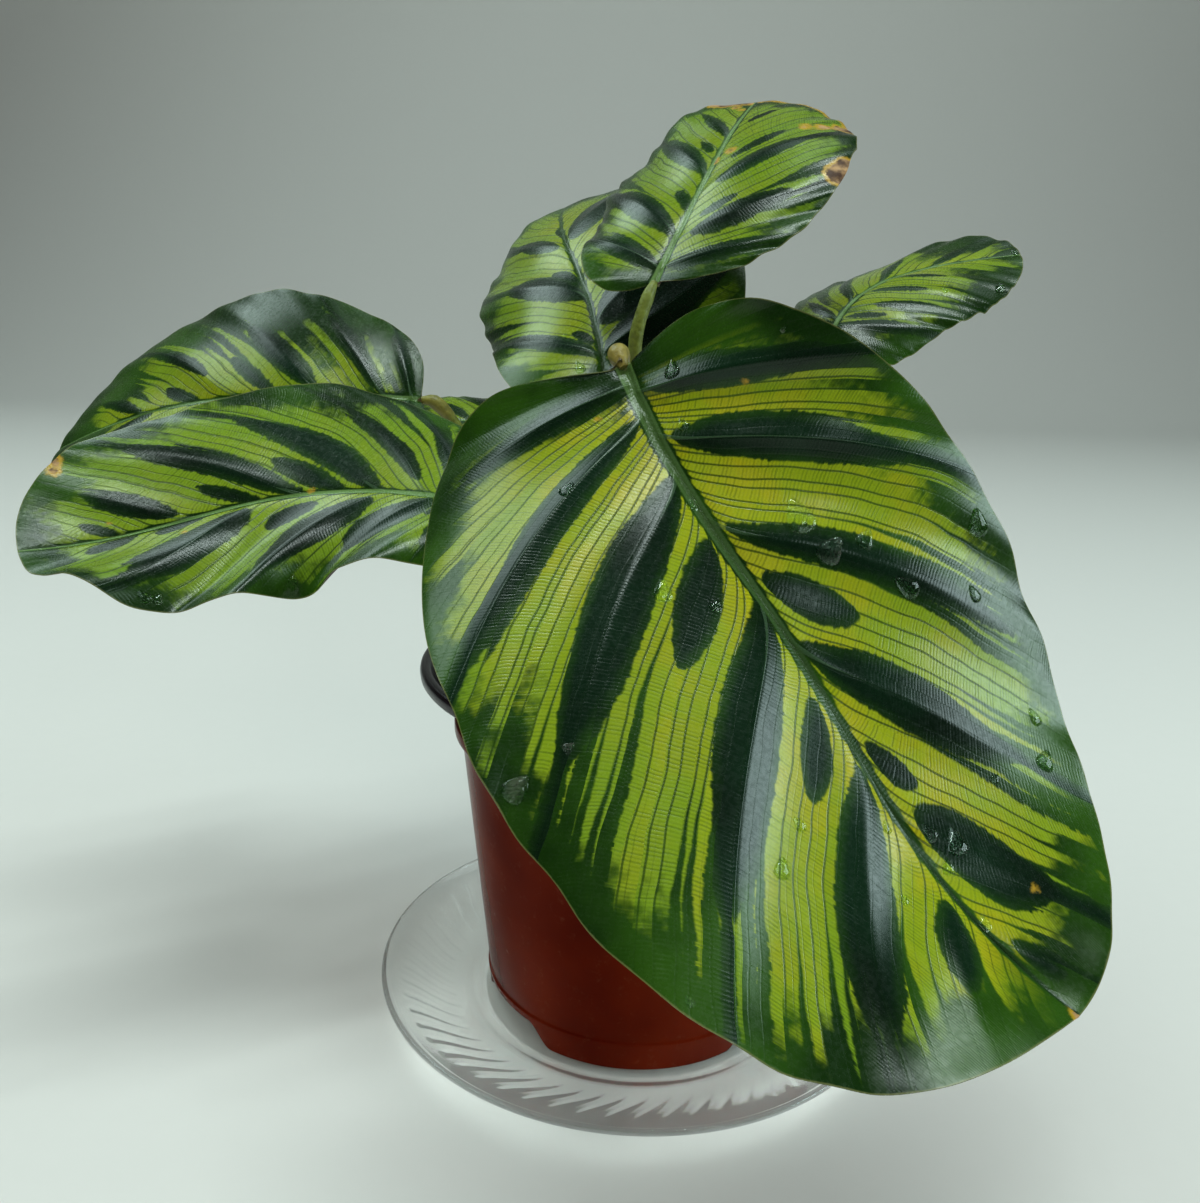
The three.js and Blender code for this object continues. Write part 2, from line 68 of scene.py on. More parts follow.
# The plate: a clear polystyrene plant saucer, moulded in one piece. Its flat well holds the pot,
# and S-shaped ribs stiffen the rising band between the well and the rim.
PLATE_SIDES = 720
PLATE_RADIUS = 95
PLATE_HEIGHT = 13.6
PLATE_THICKNESS = 2.2
WELL_RADIUS = 59
RIB_INNER_RADIUS = 67
RIB_OUTER_RADIUS = 88
BAND_FOOT = WELL_RADIUS + 5
BAND_TOP = PLATE_RADIUS - 3


def without_repeats(corner):
    """A face's corners, less any that repeats the one before it."""
    return [int(c) for k, c in enumerate(corner) if c != corner[k - 1]]


def turned(profile, sides):
    """Corners and faces of a profile of (radius, height) pairs turned about the Z axis."""
    corners, rings, faces = [], [], []
    for radius, height in profile:
        first = len(corners)
        if radius == 0:
            corners.append((0, 0, height))
            rings.append([first] * sides)
            continue
        for i in range(sides):
            turn = 2 * pi * i / sides
            corners.append((radius * cos(turn), radius * sin(turn), height))
        rings.append(list(range(first, first + sides)))
    for low, high in zip(rings, rings[1:]):
        for i in range(sides):
            j = (i + 1) % sides
            corner = [low[i], low[j], high[j], high[i]]
            faces.append(without_repeats(corner))
    return corners, faces


def new_piece(name, corners, faces, edges=()):
    """A smooth object from corners in millimetres."""
    mesh = bpy.data.meshes.new(name)
    mesh.from_pydata((np.asarray(corners, float) * MM).tolist(), edges, faces)
    mesh.shade_smooth()
    piece = bpy.data.objects.new(name, mesh)
    bpy.context.collection.objects.link(piece)
    return piece


def keep_values(piece, name, values):
    """Keeps a number or a vector for each corner of a piece, for its tree or its material."""
    values = np.asarray(values, np.float32)
    kind, key = ("FLOAT", "value") if values.ndim == 1 else ("FLOAT_VECTOR", "vector")
    piece.data.attributes.new(name, kind, "POINT").data.foreach_set(key, values.ravel())


def add_node(tree, kind, inputs=None, **settings):
    """A node with its settings. Inputs holds values or other nodes' outputs, by socket."""
    node = tree.nodes.new(kind)
    for name, value in settings.items():
        setattr(node, name, value)
    for name, value in (inputs or {}).items():
        if isinstance(value, bpy.types.NodeSocket):
            tree.links.new(value, node.inputs[name])
        else:
            node.inputs[name].default_value = value
    return node


def calc(tree, operation, first, second=0.0, third=0.0, clamp=False):
    """One step of arithmetic in a tree."""
    values = {0: first, 1: second, 2: third}
    node = add_node(tree, "ShaderNodeMath", values, operation=operation, use_clamp=clamp)
    return node.outputs[0]


def ease(tree, value, low, high, start=0.0, end=1.0):
    """Start below low, end above high, and a smooth run between them."""
    values = {0: value, 1: low, 2: high, 3: start, 4: end}
    node = add_node(tree, "ShaderNodeMapRange", values, interpolation_type="SMOOTHSTEP")
    return node.outputs[0]


def new_tree(name, kind, inputs, outputs):
    """A node group with named sockets: {name: (type, value)} in and {name: type} out."""
    tree = bpy.data.node_groups.new(name, kind)
    for title, (sort, value) in inputs.items():
        socket = tree.interface.new_socket(title, in_out="INPUT", socket_type=sort)
        if value is not None:
            socket.default_value = value
    for title, sort in outputs.items():
        tree.interface.new_socket(title, in_out="OUTPUT", socket_type=sort)
    return tree, tree.nodes.new("NodeGroupInput").outputs, tree.nodes.new("NodeGroupOutput")


def grow(base, tree, values):
    """Runs a Geometry Nodes tree on a piece and keeps the result as its plain mesh."""
    modifier = base.modifiers.new(tree.name, "NODES")
    modifier.node_group = tree
    for socket in tree.interface.items_tree:
        if socket.in_out == "INPUT" and socket.name in values:
            modifier[socket.identifier] = values[socket.name]
    grown = base.evaluated_get(bpy.context.evaluated_depsgraph_get())
    mesh = bpy.data.meshes.new_from_object(grown)
    base.modifiers.remove(modifier)
    mesh.name = base.name
    # A mesh that had no material of its own brings an empty slot along
    if mesh.materials[0] is None:
        mesh.materials.pop(index=0)
    mesh.shade_smooth()
    base.data = mesh


def finish_geometry(tree, shape, given, result):
    """Ends a Geometry Nodes tree: plain faces with a material."""
    plain = add_node(tree, "GeometryNodeRealizeInstances", {0: shape}).outputs[0]
    finished = add_node(
        tree, "GeometryNodeSetMaterial", {"Geometry": plain, "Material": given["Material"]}
    )
    tree.links.new(finished.outputs[0], result.inputs[0])


def settle(piece, slot, *nodes):
    """The piece stands for these CAD nodes and moves with the plant; slot is not used."""
    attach(piece, "root")
    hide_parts(*nodes)


def band_height(radius):
    """The upper side of the band that rises from the well to the rim."""
    return np.interp(
        radius, [BAND_FOOT, BAND_TOP], [PLATE_THICKNESS + 1.2, PLATE_HEIGHT - 1.6]
    )


def new_material(name):
    """A material, its tree and its Principled shader."""
    material = bpy.data.materials.new(name)
    material.use_nodes = True
    tree = material.node_tree
    tree.nodes.clear()
    shader = tree.nodes.new("ShaderNodeBsdfPrincipled")
    output = tree.nodes.new("ShaderNodeOutputMaterial")
    tree.links.new(shader.outputs[0], output.inputs["Surface"])
    return material, tree, shader


def object_noise(tree, scale, detail=2.0, roughness=0.5):
    """Noise on the piece's own coordinates, with its scale in repeats a metre."""
    place = tree.nodes.new("ShaderNodeTexCoord").outputs["Object"]
    values = {"Vector": place, "Scale": scale, "Detail": detail, "Roughness": roughness}
    return add_node(tree, "ShaderNodeTexNoise", values).outputs[0]


def bump(tree, height, reach):
    """A normal from a height of 0 to 1, with its reach in millimetres."""
    return add_node(tree, "ShaderNodeBump", {"Height": height, "Distance": reach * MM}).outputs[0]


# Marks that handling leaves on any moulded plastic: slow waves, fine scuffs and a little dust
plastic, given, result = new_tree(
    "handled_plastic",
    "ShaderNodeTree",
    {"Scale": ("NodeSocketFloat", 60.0), "Scuffs": ("NodeSocketFloat", 0.5)},
    {"Cloud": "NodeSocketFloat", "Scuff": "NodeSocketFloat", "Height": "NodeSocketFloat"},
)
cloud = object_noise(plastic, given["Scale"], 3.0)
long_marks = object_noise(plastic, calc(plastic, "MULTIPLY", given["Scale"], 14.0), 4.0, 0.7)
scuff = calc(plastic, "MULTIPLY", ease(plastic, long_marks, 0.56, 0.72), given["Scuffs"])
height = calc(plastic, "MULTIPLY_ADD", long_marks, 0.25, cloud)
for name, value in {"Cloud": cloud, "Scuff": scuff, "Height": height}.items():
    plastic.links.new(value, result.inputs[name])


def plastic_marks(tree, scale, scuffs):
    """The handling marks in one material, at a scale in repeats a metre."""
    values = {"Scale": scale, "Scuffs": scuffs}
    return add_node(tree, "ShaderNodeGroup", values, node_tree=plastic).outputs


def let_light_through(tree, shader, tint, faintness):
    """Lets lamplight pass tinted through a clear piece, and makes the piece this much fainter."""
    see_through = add_node(tree, "ShaderNodeBsdfTransparent", {0: tint})
    lamp_ray = tree.nodes.new("ShaderNodeLightPath").outputs["Is Shadow Ray"]
    either = add_node(tree, "ShaderNodeMixShader", {
        0: calc(tree, "MAXIMUM", lamp_ray, faintness), 1: shader.outputs[0],
        2: see_through.outputs[0]})
    tree.links.new(either.outputs[0], tree.get_output_node("ALL").inputs["Surface"])


PLATE_COLOUR = (0.97, 0.98, 0.98, 1)
PLATE_SHADOW = (0.985, 0.99, 0.99, 1)
clear, tree, shader = new_material("clear_polystyrene")
shader.inputs["Base Color"].default_value = PLATE_COLOUR
shader.inputs["Transmission Weight"].default_value = 1
shader.inputs["IOR"].default_value = 1.5
marks = plastic_marks(tree, 25, 1)
tree.links.new(ease(tree, marks["Scuff"], 0, 1, 0.03, 0.12), shader.inputs["Roughness"])
tree.links.new(bump(tree, marks["Height"], 0.06), shader.inputs["Normal"])
let_light_through(tree, shader, PLATE_SHADOW, 0.2)

ribs, given, result = new_tree(
    "swept_ribs",
    "GeometryNodeTree",
    {
        "Geometry": ("NodeSocketGeometry", None),
        "Ribs": ("NodeSocketInt", 60),
        "Height": ("NodeSocketFloat", 0.26 * MM),
        "Inner radius": ("NodeSocketFloat", RIB_INNER_RADIUS * MM),
        "Outer radius": ("NodeSocketFloat", RIB_OUTER_RADIUS * MM),
        "Sweep": ("NodeSocketFloat", radians(9)),
        "Material": ("NodeSocketMaterial", None),
    },
    {"Geometry": "NodeSocketGeometry"},
)
place = ribs.nodes.new("GeometryNodeInputPosition").outputs[0]
part = add_node(ribs, "ShaderNodeSeparateXYZ", {0: place}).outputs
radius = calc(ribs, "SQRT", calc(ribs, "ADD", calc(ribs, "POWER", part[0], 2.0),
                                 calc(ribs, "POWER", part[1], 2.0)))
inward = add_node(ribs, "ShaderNodeMapRange", {
    0: radius, 1: given["Outer radius"], 2: given["Inner radius"]}).outputs[0]
turn = calc(ribs, "MULTIPLY", ease(ribs, inward, 0.0, 1.0), given["Sweep"])
angle = calc(ribs, "SUBTRACT", calc(ribs, "ARCTAN2", part[1], part[0]), turn)
wave = calc(ribs, "COSINE", calc(ribs, "MULTIPLY", angle, given["Ribs"]))
ridge = ease(ribs, wave, -0.1, 1.0)
ends = calc(ribs, "MULTIPLY", ease(ribs, inward, 0.0, 0.07), ease(ribs, inward, 1.0, 0.9))
upper = add_node(ribs, "GeometryNodeInputNamedAttribute", {"Name": "upper"}).outputs[0]
lift = calc(ribs, "MULTIPLY", calc(ribs, "MULTIPLY", ridge, ends),
            calc(ribs, "MULTIPLY", upper, given["Height"]))
offset = add_node(ribs, "ShaderNodeCombineXYZ", {2: lift}).outputs[0]
ribbed = add_node(ribs, "GeometryNodeSetPosition", {
    "Geometry": given["Geometry"], "Offset": offset})
finish_geometry(ribs, ribbed.outputs[0], given, result)

underside = [
    (0, 0), (WELL_RADIUS - 3, 0), (WELL_RADIUS - 1, 0.15), (WELL_RADIUS + 1, 0.5),
    (BAND_FOOT, band_height(BAND_FOOT) - PLATE_THICKNESS),
    (BAND_TOP, band_height(BAND_TOP) - PLATE_THICKNESS),
]
rim = [
    (PLATE_RADIUS - 0.5, PLATE_HEIGHT - 2), (PLATE_RADIUS, PLATE_HEIGHT - 1.4),
    (PLATE_RADIUS, PLATE_HEIGHT - 0.7), (PLATE_RADIUS - 0.25, PLATE_HEIGHT - 0.15),
    (PLATE_RADIUS - 0.8, PLATE_HEIGHT), (PLATE_RADIUS - 1.5, PLATE_HEIGHT),
    (PLATE_RADIUS - 2.1, PLATE_HEIGHT - 0.4),
]
band = [(r, band_height(r)) for r in np.linspace(BAND_TOP, BAND_FOOT, 44)]
well = [
    (WELL_RADIUS + 2.6, PLATE_THICKNESS + 1.3), (WELL_RADIUS + 1.2, PLATE_THICKNESS + 1.55),
    (WELL_RADIUS, PLATE_THICKNESS + 1.3), (WELL_RADIUS - 1, PLATE_THICKNESS + 0.6),
    (WELL_RADIUS - 2, PLATE_THICKNESS + 0.1), (WELL_RADIUS - 3, PLATE_THICKNESS),
    (0, PLATE_THICKNESS),
]
corners, faces = turned(underside + rim + band + well, PLATE_SIDES)
plate = new_piece("clear_plate", corners, faces)
first_upper = 1 + (len(underside) - 1 + len(rim)) * PLATE_SIDES
keep_values(plate, "upper", np.arange(len(corners)) >= first_upper)
grow(plate, ribs, {"Material": clear})
settle(plate, "clear_plastic", "plate")

# The outer pot: a glossy terracotta-coloured plastic cover pot, injection moulded with a raised
# floor, a foot ring with three wide notches, a small step above it and a rounded lip.
POT_SIDES = 360
POT_FOOT = PLATE_THICKNESS + 0.3
POT_FOOT_RADIUS = 54
POT_TAPER = 0.109
POT_WALL = 1.8
POT_TOP = 112
POT_FLOOR = POT_FOOT + 9.2
POT_BEND = 20
STEP_HEIGHT = 13.2
STEP_DEPTH = 0.5
LIP = 1.4
NOTCHES = 3
NOTCH_HALF_WIDTH = 23
NOTCH_SLOPE = 9
NOTCH_HEIGHT = 8
NOTCH_TURN = -148


def mix_colours(tree, factor, first, second, blend="MIX"):
    """The first colour at a factor of 0 and the second, or a blend of the two, at 1."""
    values = {0: factor, 6: first, 7: second}
    node = add_node(tree, "ShaderNodeMix", values, data_type="RGBA", blend_type=blend)
    return node.outputs[2]


def pot_radius(height):
    """The outer pot's radius at a height, before the step takes its depth off."""
    return POT_FOOT_RADIUS + POT_TAPER * (height - POT_FOOT)


def notch_lift(x, y):
    """How far the foot ring's lower edge is raised at a place round the pot."""
    turns = (np.degrees(np.arctan2(y, x)) - NOTCH_TURN) * NOTCHES / 360
    away = (turns - np.round(turns)) * 2 * pi / NOTCHES
    aside = POT_FOOT_RADIUS * np.abs(np.sin(away))
    rise = np.clip((NOTCH_HALF_WIDTH - aside) / NOTCH_SLOPE, 0, 1)
    return NOTCH_HEIGHT * rise * rise * (3 - 2 * rise)


inside = POT_FOOT_RADIUS - POT_WALL
foot_ring = [
    (inside, POT_FOOT + 0.7), (inside + 0.3, POT_FOOT + 0.2), (inside + 0.9, POT_FOOT),
    (POT_FOOT_RADIUS - 0.5, POT_FOOT), (POT_FOOT_RADIUS - 0.1, POT_FOOT + 0.25),
    (POT_FOOT_RADIUS + 0.05, POT_FOOT + 0.7),
]
wall_heights = np.linspace(STEP_HEIGHT + 2, POT_TOP - 6, 24)
lip_radius = pot_radius(POT_TOP) + LIP
inner_radius = pot_radius(POT_TOP) - POT_WALL - STEP_DEPTH
profile = [(0, POT_FLOOR), (inside - 1, POT_FLOOR), (inside, POT_FLOOR - 0.6)]
foot_start = 1 + 2 * POT_SIDES
profile += foot_ring + [
    (pot_radius(STEP_HEIGHT) - 0.05, STEP_HEIGHT - 0.6),
    (pot_radius(STEP_HEIGHT) + 0.1, STEP_HEIGHT - 0.1),
    (pot_radius(STEP_HEIGHT), STEP_HEIGHT + 0.3),
    (pot_radius(STEP_HEIGHT) - 0.35, STEP_HEIGHT + 0.6),
    (pot_radius(STEP_HEIGHT) - STEP_DEPTH, STEP_HEIGHT + 1),
]
profile += [(pot_radius(h) - STEP_DEPTH, h) for h in wall_heights]
profile += [
    (lip_radius - 0.9, POT_TOP - 5.2), (lip_radius - 0.1, POT_TOP - 4.4),
    (lip_radius, POT_TOP - 3.6), (lip_radius, POT_TOP - 1), (lip_radius - 0.25, POT_TOP - 0.3),
    (lip_radius - 0.9, POT_TOP), (inner_radius + 0.8, POT_TOP),
    (inner_radius + 0.2, POT_TOP - 0.3), (inner_radius, POT_TOP - 1.2),
    (pot_radius(POT_BEND) - POT_WALL - STEP_DEPTH, POT_BEND), (inside - 2, POT_FLOOR + POT_WALL),
    (0, POT_FLOOR + POT_WALL),
]
corners, faces = turned(profile, POT_SIDES)
corners = np.array(corners)
foot = slice(foot_start, foot_start + len(foot_ring) * POT_SIDES)
lift = notch_lift(corners[foot, 0], corners[foot, 1])
corners[foot, :2] *= (1 + POT_TAPER * lift / POT_FOOT_RADIUS)[:, None]
corners[foot, 2] += lift
outer_pot = new_piece("terracotta_pot", corners, faces)

# Both tones are the pot's own dark red-brown, set darker still as painted shade from the leaf that
# hangs over it
POT_DEEP = (0.105, 0.0085, 0.0015, 1)
POT_BRIGHT = (0.190, 0.023, 0.005, 1)
POT_DUST = (0.42, 0.20, 0.13, 1)
terracotta, tree, shader = new_material("moulded_terracotta")
marks = plastic_marks(tree, 18, 0.35)
colour = mix_colours(tree, ease(tree, marks["Cloud"], 0.3, 0.7), POT_DEEP, POT_BRIGHT)
colour = mix_colours(tree, calc(tree, "MULTIPLY", marks["Scuff"], 0.25), colour, POT_DUST)
tree.links.new(colour, shader.inputs["Base Color"])
tree.links.new(ease(tree, marks["Scuff"], 0, 1, 0.2, 0.5), shader.inputs["Roughness"])
tree.links.new(bump(tree, marks["Height"], 0.12), shader.inputs["Normal"])
shader.inputs["Specular IOR Level"].default_value = 0.05
outer_pot.data.materials.append(terracotta)
settle(outer_pot, "terracotta_plastic", "outer_pot")

# The grow pot: the thin dark nursery pot that the plant came in. It stands inside the outer pot,
# and its flared collar and rolled rim show above the lip.
GROW_FOOT = POT_FLOOR + POT_WALL + 0.3
GROW_FOOT_RADIUS = 49
GROW_WALL = 1.4
GROW_NECK = POT_TOP - 4
GROW_NECK_RADIUS = pot_radius(GROW_NECK) - POT_WALL - STEP_DEPTH - 0.6
GROW_COLLAR_RADIUS = 73
GROW_RIM_RADIUS = 79
GROW_TOP = 132.5
GROW_RIM_HEIGHT = 5
COLLAR_TOP = GROW_TOP - GROW_RIM_HEIGHT - 1

rolled_rim = [
    (GROW_RIM_RADIUS - 1.8, GROW_TOP - GROW_RIM_HEIGHT),
    (GROW_RIM_RADIUS - 0.8, GROW_TOP - GROW_RIM_HEIGHT + 0.3),
    (GROW_RIM_RADIUS - 0.2, GROW_TOP - GROW_RIM_HEIGHT + 1.2),
    (GROW_RIM_RADIUS, GROW_TOP - 2.2), (GROW_RIM_RADIUS - 0.2, GROW_TOP - 1),
    (GROW_RIM_RADIUS - 0.8, GROW_TOP - 0.3), (GROW_RIM_RADIUS - 1.6, GROW_TOP),
    (GROW_RIM_RADIUS - 3, GROW_TOP), (GROW_RIM_RADIUS - 3.8, GROW_TOP - 0.5),
]
profile = [
    (0, GROW_FOOT), (GROW_FOOT_RADIUS - 1, GROW_FOOT), (GROW_FOOT_RADIUS, GROW_FOOT + 1),
    (GROW_NECK_RADIUS, GROW_NECK), (GROW_NECK_RADIUS, POT_TOP + 0.6),
    (GROW_NECK_RADIUS + 0.8, POT_TOP + 1.6), (GROW_COLLAR_RADIUS, COLLAR_TOP),
    *rolled_rim,
    (GROW_COLLAR_RADIUS - GROW_WALL + 1, COLLAR_TOP + 1),
    (GROW_NECK_RADIUS - GROW_WALL, POT_TOP + 1 + GROW_WALL),
    (GROW_NECK_RADIUS - GROW_WALL, GROW_NECK),
    (GROW_FOOT_RADIUS - GROW_WALL, GROW_FOOT + GROW_WALL), (0, GROW_FOOT + GROW_WALL),
]
grow_pot = new_piece("grow_pot_shell", *turned(profile, 240))

GROW_DARK = (0.010, 0.006, 0.009, 1)
GROW_WORN = (0.034, 0.024, 0.032, 1)
nursery, tree, shader = new_material("nursery_plastic")
marks = plastic_marks(tree, 40, 0.8)
worn = calc(tree, "MAXIMUM", marks["Scuff"], ease(tree, marks["Cloud"], 0.5, 0.8, 0, 0.5))
tree.links.new(mix_colours(tree, worn, GROW_DARK, GROW_WORN), shader.inputs["Base Color"])
tree.links.new(ease(tree, marks["Scuff"], 0, 1, 0.28, 0.55), shader.inputs["Roughness"])
tree.links.new(bump(tree, marks["Height"], 0.15), shader.inputs["Normal"])
grow_pot.data.materials.append(nursery)
settle(grow_pot, "dark_plastic", "grow_pot")

# The soil: damp peat compost, a little mounded, loose and crumbly on top, with white perlite
# grains and a few bark chips.
SOIL_TOP = 121
SOIL_MOUND = 2.5
SOIL_SIDES = 160
SOIL_FOOT = GROW_FOOT + GROW_WALL + 0.3
SOIL_EDGE = GROW_NECK_RADIUS - GROW_WALL - 0.6
rise = (SOIL_TOP - POT_TOP - 1) / (COLLAR_TOP - POT_TOP - 1)
SOIL_RADIUS = GROW_NECK_RADIUS + (GROW_COLLAR_RADIUS - GROW_NECK_RADIUS) * rise - 2.3
random = np.random.default_rng(11)


def mound_height(radius):
    """The soil's top, a low mound that dips where it meets the pot."""
    share = radius / SOIL_RADIUS
    steps = [0, 0.25, 0.5, 0.7, 0.97, 1]
    heights = [SOIL_MOUND, SOIL_MOUND, 0.5 * SOIL_MOUND, 0, -1.6, -2]
    return SOIL_TOP + np.interp(share, steps, heights)


top_radii = np.linspace(SOIL_RADIUS, 1, 60)
profile = [
    (0, SOIL_FOOT), (GROW_FOOT_RADIUS - GROW_WALL - 1.3, SOIL_FOOT),
    (SOIL_EDGE, GROW_NECK), (SOIL_EDGE, POT_TOP + 2),
    *[(r, mound_height(r)) for r in top_radii], (0, mound_height(0)),
]
corners, faces = turned(profile, SOIL_SIDES)
corners = np.array(corners)
# The lumps leave out the foot, the sides and the ring where the top meets the pot
first_top = 1 + 4 * SOIL_SIDES
lumps = sum(
    np.sin(corners[first_top:, 0] / size + turn) * np.sin(corners[first_top:, 1] / size - turn)
    for size, turn in ((6.1, 0.4), (3.7, 2.2), (2.3, 4.1))
)
corners[first_top:, 2] += 0.35 * lumps + random.normal(0, 0.22, len(lumps))
soil = new_piece("soil_bed", corners, faces)

SOIL_WET = (0.012, 0.007, 0.004, 1)
SOIL_DRY = (0.060, 0.036, 0.020, 1)
BARK = (0.115, 0.052, 0.022, 1)
PERLITE = (0.62, 0.59, 0.53, 1)


def crumb_material(name, dark, pale, roughness):
    """A dry, grainy matt finish between two colours."""
    material, tree, shader = new_material(name)
    patches = ease(tree, object_noise(tree, 160, 4), 0.35, 0.65)
    grains = object_noise(tree, 1400, 5, 0.7)
    share = calc(tree, "MULTIPLY_ADD", grains, 0.5, calc(tree, "MULTIPLY", patches, 0.5))
    tree.links.new(mix_colours(tree, share, dark, pale), shader.inputs["Base Color"])
    tree.links.new(ease(tree, grains, 0.3, 0.7, roughness - 0.1, roughness),
                   shader.inputs["Roughness"])
    tree.links.new(bump(tree, grains, 0.6), shader.inputs["Normal"])
    return material


soil.data.materials.append(crumb_material("peat", SOIL_WET, SOIL_DRY, 0.95))
settle(soil, "soil", "soil")

scatter, given, result = new_tree(
    "strewn_grains",
    "GeometryNodeTree",
    {
        "Geometry": ("NodeSocketGeometry", None),
        "Density": ("NodeSocketFloat", 1e5),
        "Seed": ("NodeSocketInt", 1),
        "Smallest": ("NodeSocketFloat", 0.5 * MM),
        "Largest": ("NodeSocketFloat", 1.5 * MM),
        "Length": ("NodeSocketFloat", 1.0),
        "Lift": ("NodeSocketFloat", 0.0),
        "Material": ("NodeSocketMaterial", None),
    },
    {"Geometry": "NodeSocketGeometry"},
)
spots = add_node(scatter, "GeometryNodeDistributePointsOnFaces", {
    "Mesh": given["Geometry"], "Density": given["Density"], "Seed": given["Seed"]})
grain = add_node(scatter, "GeometryNodeMeshIcoSphere", {"Radius": 1.0, "Subdivisions": 1})
squash = add_node(scatter, "ShaderNodeCombineXYZ", {0: given["Length"], 1: 0.9, 2: 0.6})
grain = add_node(scatter, "GeometryNodeTransform", {
    "Geometry": grain.outputs[0], "Scale": squash.outputs[0]})
whirl = add_node(scatter, "FunctionNodeRandomValue", {
    0: (-0.5, -0.5, 0.0), 1: (0.5, 0.5, 2 * pi), "Seed": given["Seed"]},
    data_type="FLOAT_VECTOR").outputs[0]
size = add_node(scatter, "FunctionNodeRandomValue", {
    2: given["Smallest"], 3: given["Largest"], "Seed": given["Seed"]}).outputs[1]
raised = add_node(scatter, "ShaderNodeCombineXYZ", {2: given["Lift"]}).outputs[0]
spots = add_node(scatter, "GeometryNodeSetPosition", {
    "Geometry": spots.outputs["Points"], "Offset": raised}).outputs[0]
strewn = add_node(scatter, "GeometryNodeInstanceOnPoints", {
    "Points": spots, "Instance": grain.outputs[0], "Rotation": whirl, "Scale": size})
finish_geometry(scatter, strewn.outputs[0], given, result)

surface = [(r, mound_height(r)) for r in np.linspace(SOIL_RADIUS - 1.5, 2, 30)]
for name, colours, roughness, values in (
    ("soil_crumbs", (SOIL_WET, SOIL_DRY), 0.95,
     {"Density": 1.7e5, "Seed": 3, "Smallest": 0.5 * MM, "Largest": 1.7 * MM, "Length": 1.1}),
    ("bark_chips", (SOIL_DRY, BARK), 0.8,
     {"Density": 1.1e4, "Seed": 5, "Smallest": 1.0 * MM, "Largest": 2.4 * MM, "Length": 2.1,
      "Lift": 0.3 * MM}),
    ("perlite_grains", (tuple(0.7 * c for c in PERLITE[:3]) + (1,), PERLITE), 0.9,
     {"Density": 8e3, "Seed": 8, "Smallest": 0.6 * MM, "Largest": 1.5 * MM, "Length": 1.0,
      "Lift": 0.4 * MM}),
):
    grains = new_piece(name, *turned(surface, 96))
    values["Material"] = crumb_material(name, *colours, roughness)
    grow(grains, scatter, values)
    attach(grains, "root")
